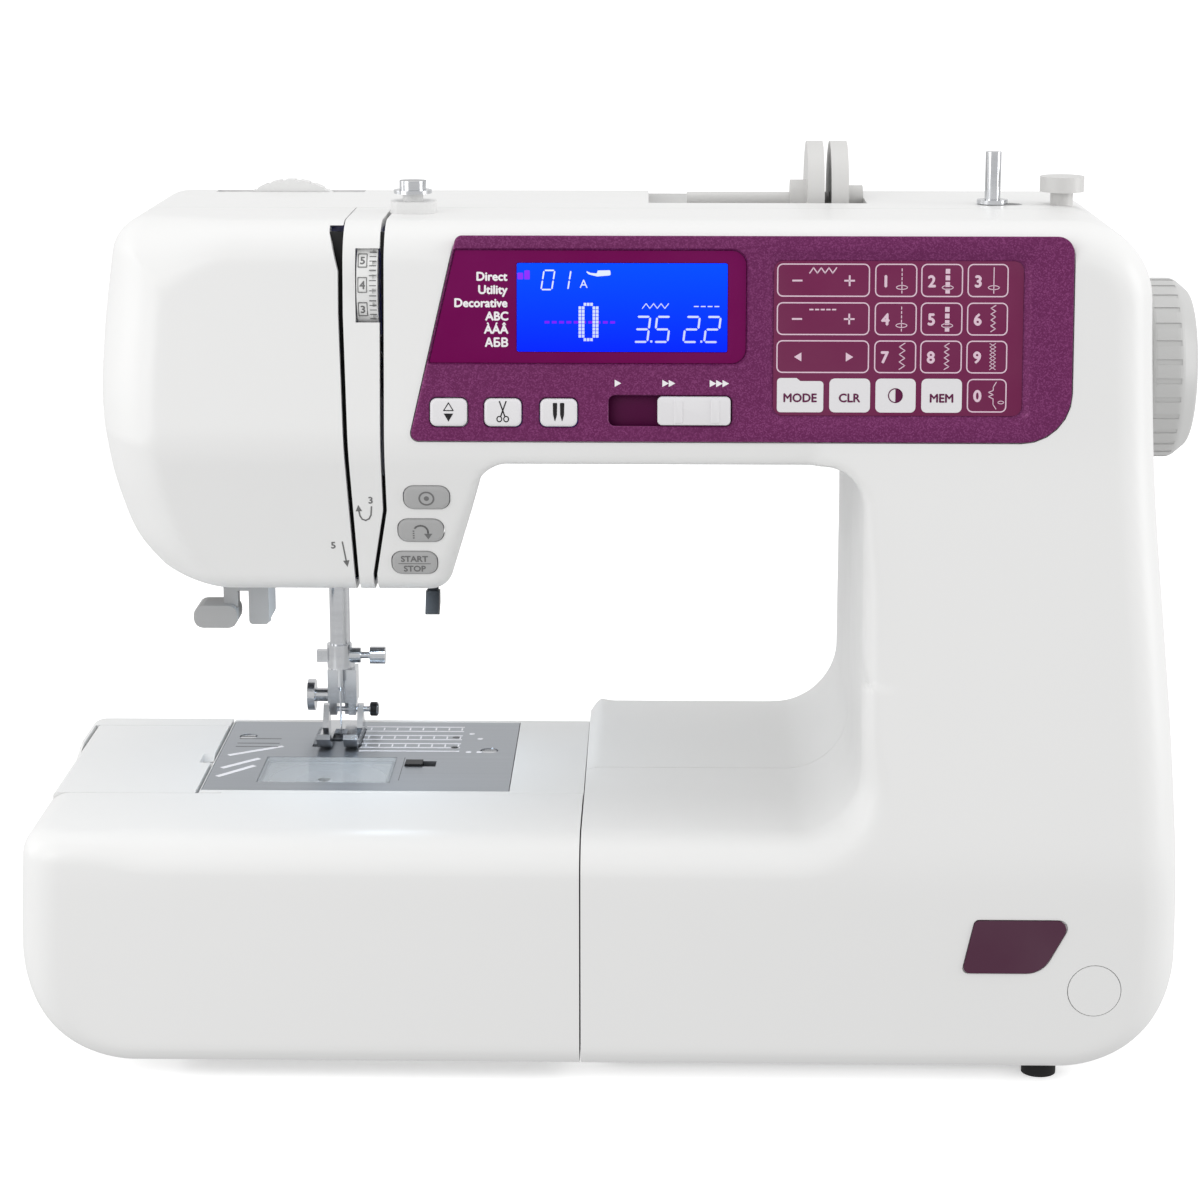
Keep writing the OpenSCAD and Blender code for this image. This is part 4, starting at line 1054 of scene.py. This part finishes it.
# key icons
FACE_KEYS = (("needle_position_key", -61.0), ("thread_cutter_key", -42.7), ("memory_key", -23.9))
for n, x in FACE_KEYS:
    loft(n + "_cap", rrect(x, 7.7, x + 12.5, 17.1, 2.2, 7),
         [(0, -1.6), (0, 0.9), (0.18, 1.35), (0.55, 1.62), (1.1, 1.7)], KEY_WHITE, n, FACE,
         slot="key_white", replaces=[n])
    cx, cy = x + 6.25, 12.5
    ink = Ink(n + "_icon", FACE, 1.5, 1.76)
    if n.startswith("needle"):
        ink.poly([(cx - 1.6, cy - 0.5), (cx + 1.6, cy - 0.5), (cx, cy - 3.2)])
        ink.line([(cx - 1.6, cy + 0.5), (cx + 1.6, cy + 0.5), (cx, cy + 3.1)], 0.32, True)
    elif n.startswith("thread"):
        ink.line([(cx - 1.1, cy + 3.6), (cx + 0.7, cy - 1.4)], 0.42)
        ink.line([(cx + 1.1, cy + 3.6), (cx - 0.7, cy - 1.4)], 0.42)
        for s in (-1, 1):
            ink.frame([(cx + s * 1.15 + 1.0 * math.cos(2 * math.pi * k / 14),
                        cy - 2.3 + 1.1 * math.sin(2 * math.pi * k / 14)) for k in range(14)], 0.36)
    else:
        for s in (-1.2, 1.2):
            ink.poly(soft([(cx + s - 0.75, cy + 3.2, 0.3), (cx + s - 0.65, cy - 0.9, 0.2),
                           (cx + s, cy - 3.2, 0.1), (cx + s + 0.65, cy - 0.9, 0.2),
                           (cx + s + 0.75, cy + 3.2, 0.3)], 3))
    ink.done(PRINT_BLACK, n, "black_plastic")

loft("speed_slider_cap", rrect(15.6, 8.3, 40.2, 17.9, 1.6, 6),
     [(0, -1.4), (0, 1.7), (0.2, 2.05), (0.7, 2.2)], KEY_WHITE, "speed_slider", FACE,
     slot="key_white", replaces=["speed_slider"])
for n, x0, x1 in (("left", 21.0, 24.2), ("right", 33.4, 36.6)):
    loft("speed_slider_rib_" + n, rrect(x0, 8.9, x1, 17.3, 0.8, 4),
         [(0, 2.0), (0.2, 2.45), (0.7, 2.6)], KEY_WHITE, "speed_slider", FACE, slot="key_white")

for n, (kx, ky) in zip(("lock_stitch_button", "reverse_button", "start_stop_button"), HEAD_KEYS):
    loft(n + "_cap", rrect(kx - 7.8, ky - 4.4, kx + 7.8, ky + 4.4, 3.6, 8),
         [(0, -3), (0, 0.2), (0.2, 0.6), (0.7, 0.84), (1.4, 0.9)], KEY_GREY, n, HEAD,
         slot="key_grey", replaces=[n])
    ink = Ink(n + "_icon", HEAD, 0.7, 0.96)
    if n.startswith("lock"):
        ink.frame(disc(kx, ky, 2.75, 28), 0.6)
        ink.poly(disc(kx, ky, 0.9, 16))
    elif n.startswith("reverse"):
        ink.line([(kx + 2.5 * math.cos(t), ky - 0.2 + 2.5 * math.sin(t))
                  for t in (math.pi * k / 10 for k in range(9))], 0.6)
        ink.line([(kx + 2.5, ky - 0.2), (kx + 2.5, ky - 1.0)], 0.6)
        for k in range(4):
            ink.box(kx - 2.8, ky - 0.1 - 0.9 * k, kx - 2.2, ky + 0.35 - 0.9 * k)
        ink.poly([(kx + 1.1, ky - 0.9), (kx + 3.9, ky - 0.9), (kx + 2.5, ky - 3.1)])
    else:
        ink.text("START", kx, ky + 1.95, 3.2, "c", 0.1)
        ink.text("STOP", kx, ky - 1.95, 3.2, "c", 0.1)
        ink.box(kx - 5.6, ky - 0.12, kx + 5.6, ky + 0.12)
    ink.done(PRINT_GREY, n, "black_plastic")

# threading marks on the head
ink = Ink("thread_marks", HEAD, -0.05, 0.07)
ink.text("3", -82.2, 36.8, 3.6, "c", 0.1)
ink.line([(-82.0, 34.2), (-82.3, 31.0), (-83.0, 29.5), (-84.2, 28.8), (-85.4, 29.3),
          (-86.1, 30.6), (-86.4, 32.6)], 0.5)
ink.poly([(-87.5, 32.4), (-85.3, 32.5), (-86.5, 34.9)])
ink.done(PRINT_GREY, "machine", "black_plastic")
ink = Ink("thread_marks_left", HEAD, -0.05, 0.07)
ink.text("5", -95.9, 18.9, 3.6, "c", 0.1)
ink.line([(-92.7, 20.2), (-91.7, 12.4)], 0.5)
ink.poly([(-92.8, 12.6), (-90.6, 12.9), (-91.4, 10.2)])
ink.done(PRINT_GREY, "machine", "black_plastic")

# guide lines, hole labels and screws of the needle plate
PLATE = plane_matrix((0, 0, BED_Z))
ink = Ink("plate_lines", PLATE, -0.02, 0.035)
for y in (20.8, 25.5, 31.0, 36.5, 42.0, 48.0, 54.0):
    ink.box(-96.0, y - 0.5, -58.2, y + 0.5)
for k in range(8):
    x = -94.0 + 5.0 * k
    for y in (28.2, 39.2, 51.0):
        ink.box(x - 0.3, y - 1.6, x + 0.3, y + 1.6)
for (x0, y0), (x1, y1) in (((-143.4, 14.4), (-125.8, 26.0)), ((-143.7, -2.2), (-132.5, 9.4)),
                           ((-143.9, -13.0), (-133.0, 0.0))):
    ink.line([(x0, y0), (x1, y1)], 2.2)
for x, y in ((-54.8, 44.7), (-51.3, 37.9), (-50.7, 19.9), (-54.7, 19.8)):
    ink.poly(disc(x, y, 1.1, 16))
ink.done(PRINT_WHITE, "machine", "key_white")
ink = Ink("plate_labels", PLATE, -0.02, 0.035)
for x, y in ((-60.5, 39.7), (-60.2, 26.1)):
    ink.poly(disc(x, y, 1.5, 16))
for y in (26.0, 30.6, 36.8):
    ink.box(-143.0, y - 0.6, -127.0, y + 0.2)
ink.box(-78.0, -17.5, -77.7, 12.0)
ink.done(PRINT_GREY, "machine", "black_plastic")
for n, (sx, sy) in (("left", (-140, 40)), ("right", (-47, 22))):
    head = solid(disc(sx, sy, 3.25, 32), [(0, BED_Z - 1.2), (0, BED_Z - 0.35), (0.5, BED_Z - 0.1)])
    head = cut(head, bx(sx - 4, sx + 4, sy - 0.45, sy + 0.45, BED_Z - 0.75, BED_Z + 1))
    wrap("plate_screw_" + n, head, CHROME, "machine")

# black knob on the release lever of the presser foot
knob = solid(disc(52.6, 95.6, 2.72, 32), [(0.6, -94.6), (0, -94.2), (0, -91.9), (0.5, -91.4)],
             Matrix(((0, 0, 1, 0), (1, 0, 0, 0), (0, 1, 0, 0), (0, 0, 0, 1))))
wrap("foot_release_knob", knob, BLACK, "presser_bar")

# numbers on the tension dial
DIAL_Y = CREASE_Y + 55 * math.sin(FACE_TILT) + 17 * math.cos(FACE_TILT)
DIAL_Z = CREASE_Z + 55 * math.cos(FACE_TILT) - 17 * math.sin(FACE_TILT)
for k, s in enumerate("65432"):
    a = math.radians(-96.5 + (k - 2) * 27.0)
    tf = (Matrix.Translation((0, DIAL_Y, DIAL_Z)) @ Matrix.Rotation(a + math.pi / 2, 4, "X")
          @ Matrix.Rotation(math.pi / 2, 4, "X") @ Matrix.Translation((0, 0, 18.0)))
    ink = Ink("dial_number_" + s, tf, -0.25, 0.05)
    ink.text(s, -83.6, 0, 3.8, "c", 0.1)
    ink.frame(rrect(-85.2, -2.6, -82.0, 2.6, 0.3), 0.28)
    for r in range(5):
        ink.box(-81.3, -3.8 + 1.7 * r, -79.0, -3.5 + 1.7 * r)
    ink.done(PRINT_GREY, "tension_dial", "black_plastic")

# ------------------------------------------------------------------ CAD nodes that stay
KEEP = {
    "base_plate": PAINT, "feet": RUBBER, "free_arm_cover": WHITE, "storage_lid": WHITE,
    "needle_plate": STEEL, "hook_cover_plate": CLEAR, "cover_release_button": BLACK,
    "bobbin_holder": BLACK, "bobbin": CLEAR, "rotary_hook": STEEL, "feed_dogs": STEEL,
    "drop_feed_lever": BLACK, "main_frame": ALLOY, "upper_shaft": STEEL, "lower_shaft": STEEL,
    "hand_wheel": WHEEL, "motor": PAINT, "motor_pulley": STEEL, "timing_belt": RUBBER,
    "needle_bar": CHROME, "needle_clamp": CHROME, "needle_clamp_screw": CHROME,
    "needle": CHROME, "presser_bar": CHROME, "foot_holder": CHROME,
    "foot_holder_screw": CHROME, "presser_foot": CHROME, "presser_lifter": BLACK,
    "take_up_lever": CHROME, "threader_lever": KEY_GREY, "buttonhole_lever": BLACK,
    "tension_dial": WHITE_IN, "foot_pressure_dial": WHITE_IN,
    "bobbin_thread_guide": WHITE_IN, "pretension_disc": CHROME, "spool_pin": SPOOL,
    "spool_cap": SPOOL, "winder_spindle": CHROME, "winder_stopper": SPOOL,
    "carry_handle": WHITE_IN, "display_module": LCD,
    "badge": BADGE, "screw_cap": WHITE, "power_switch": BLACK, "power_inlet": BLACK,
}
for n, mat in KEEP.items():
    ob = nodes[n]
    for s in ob.material_slots:
        s.material = mat
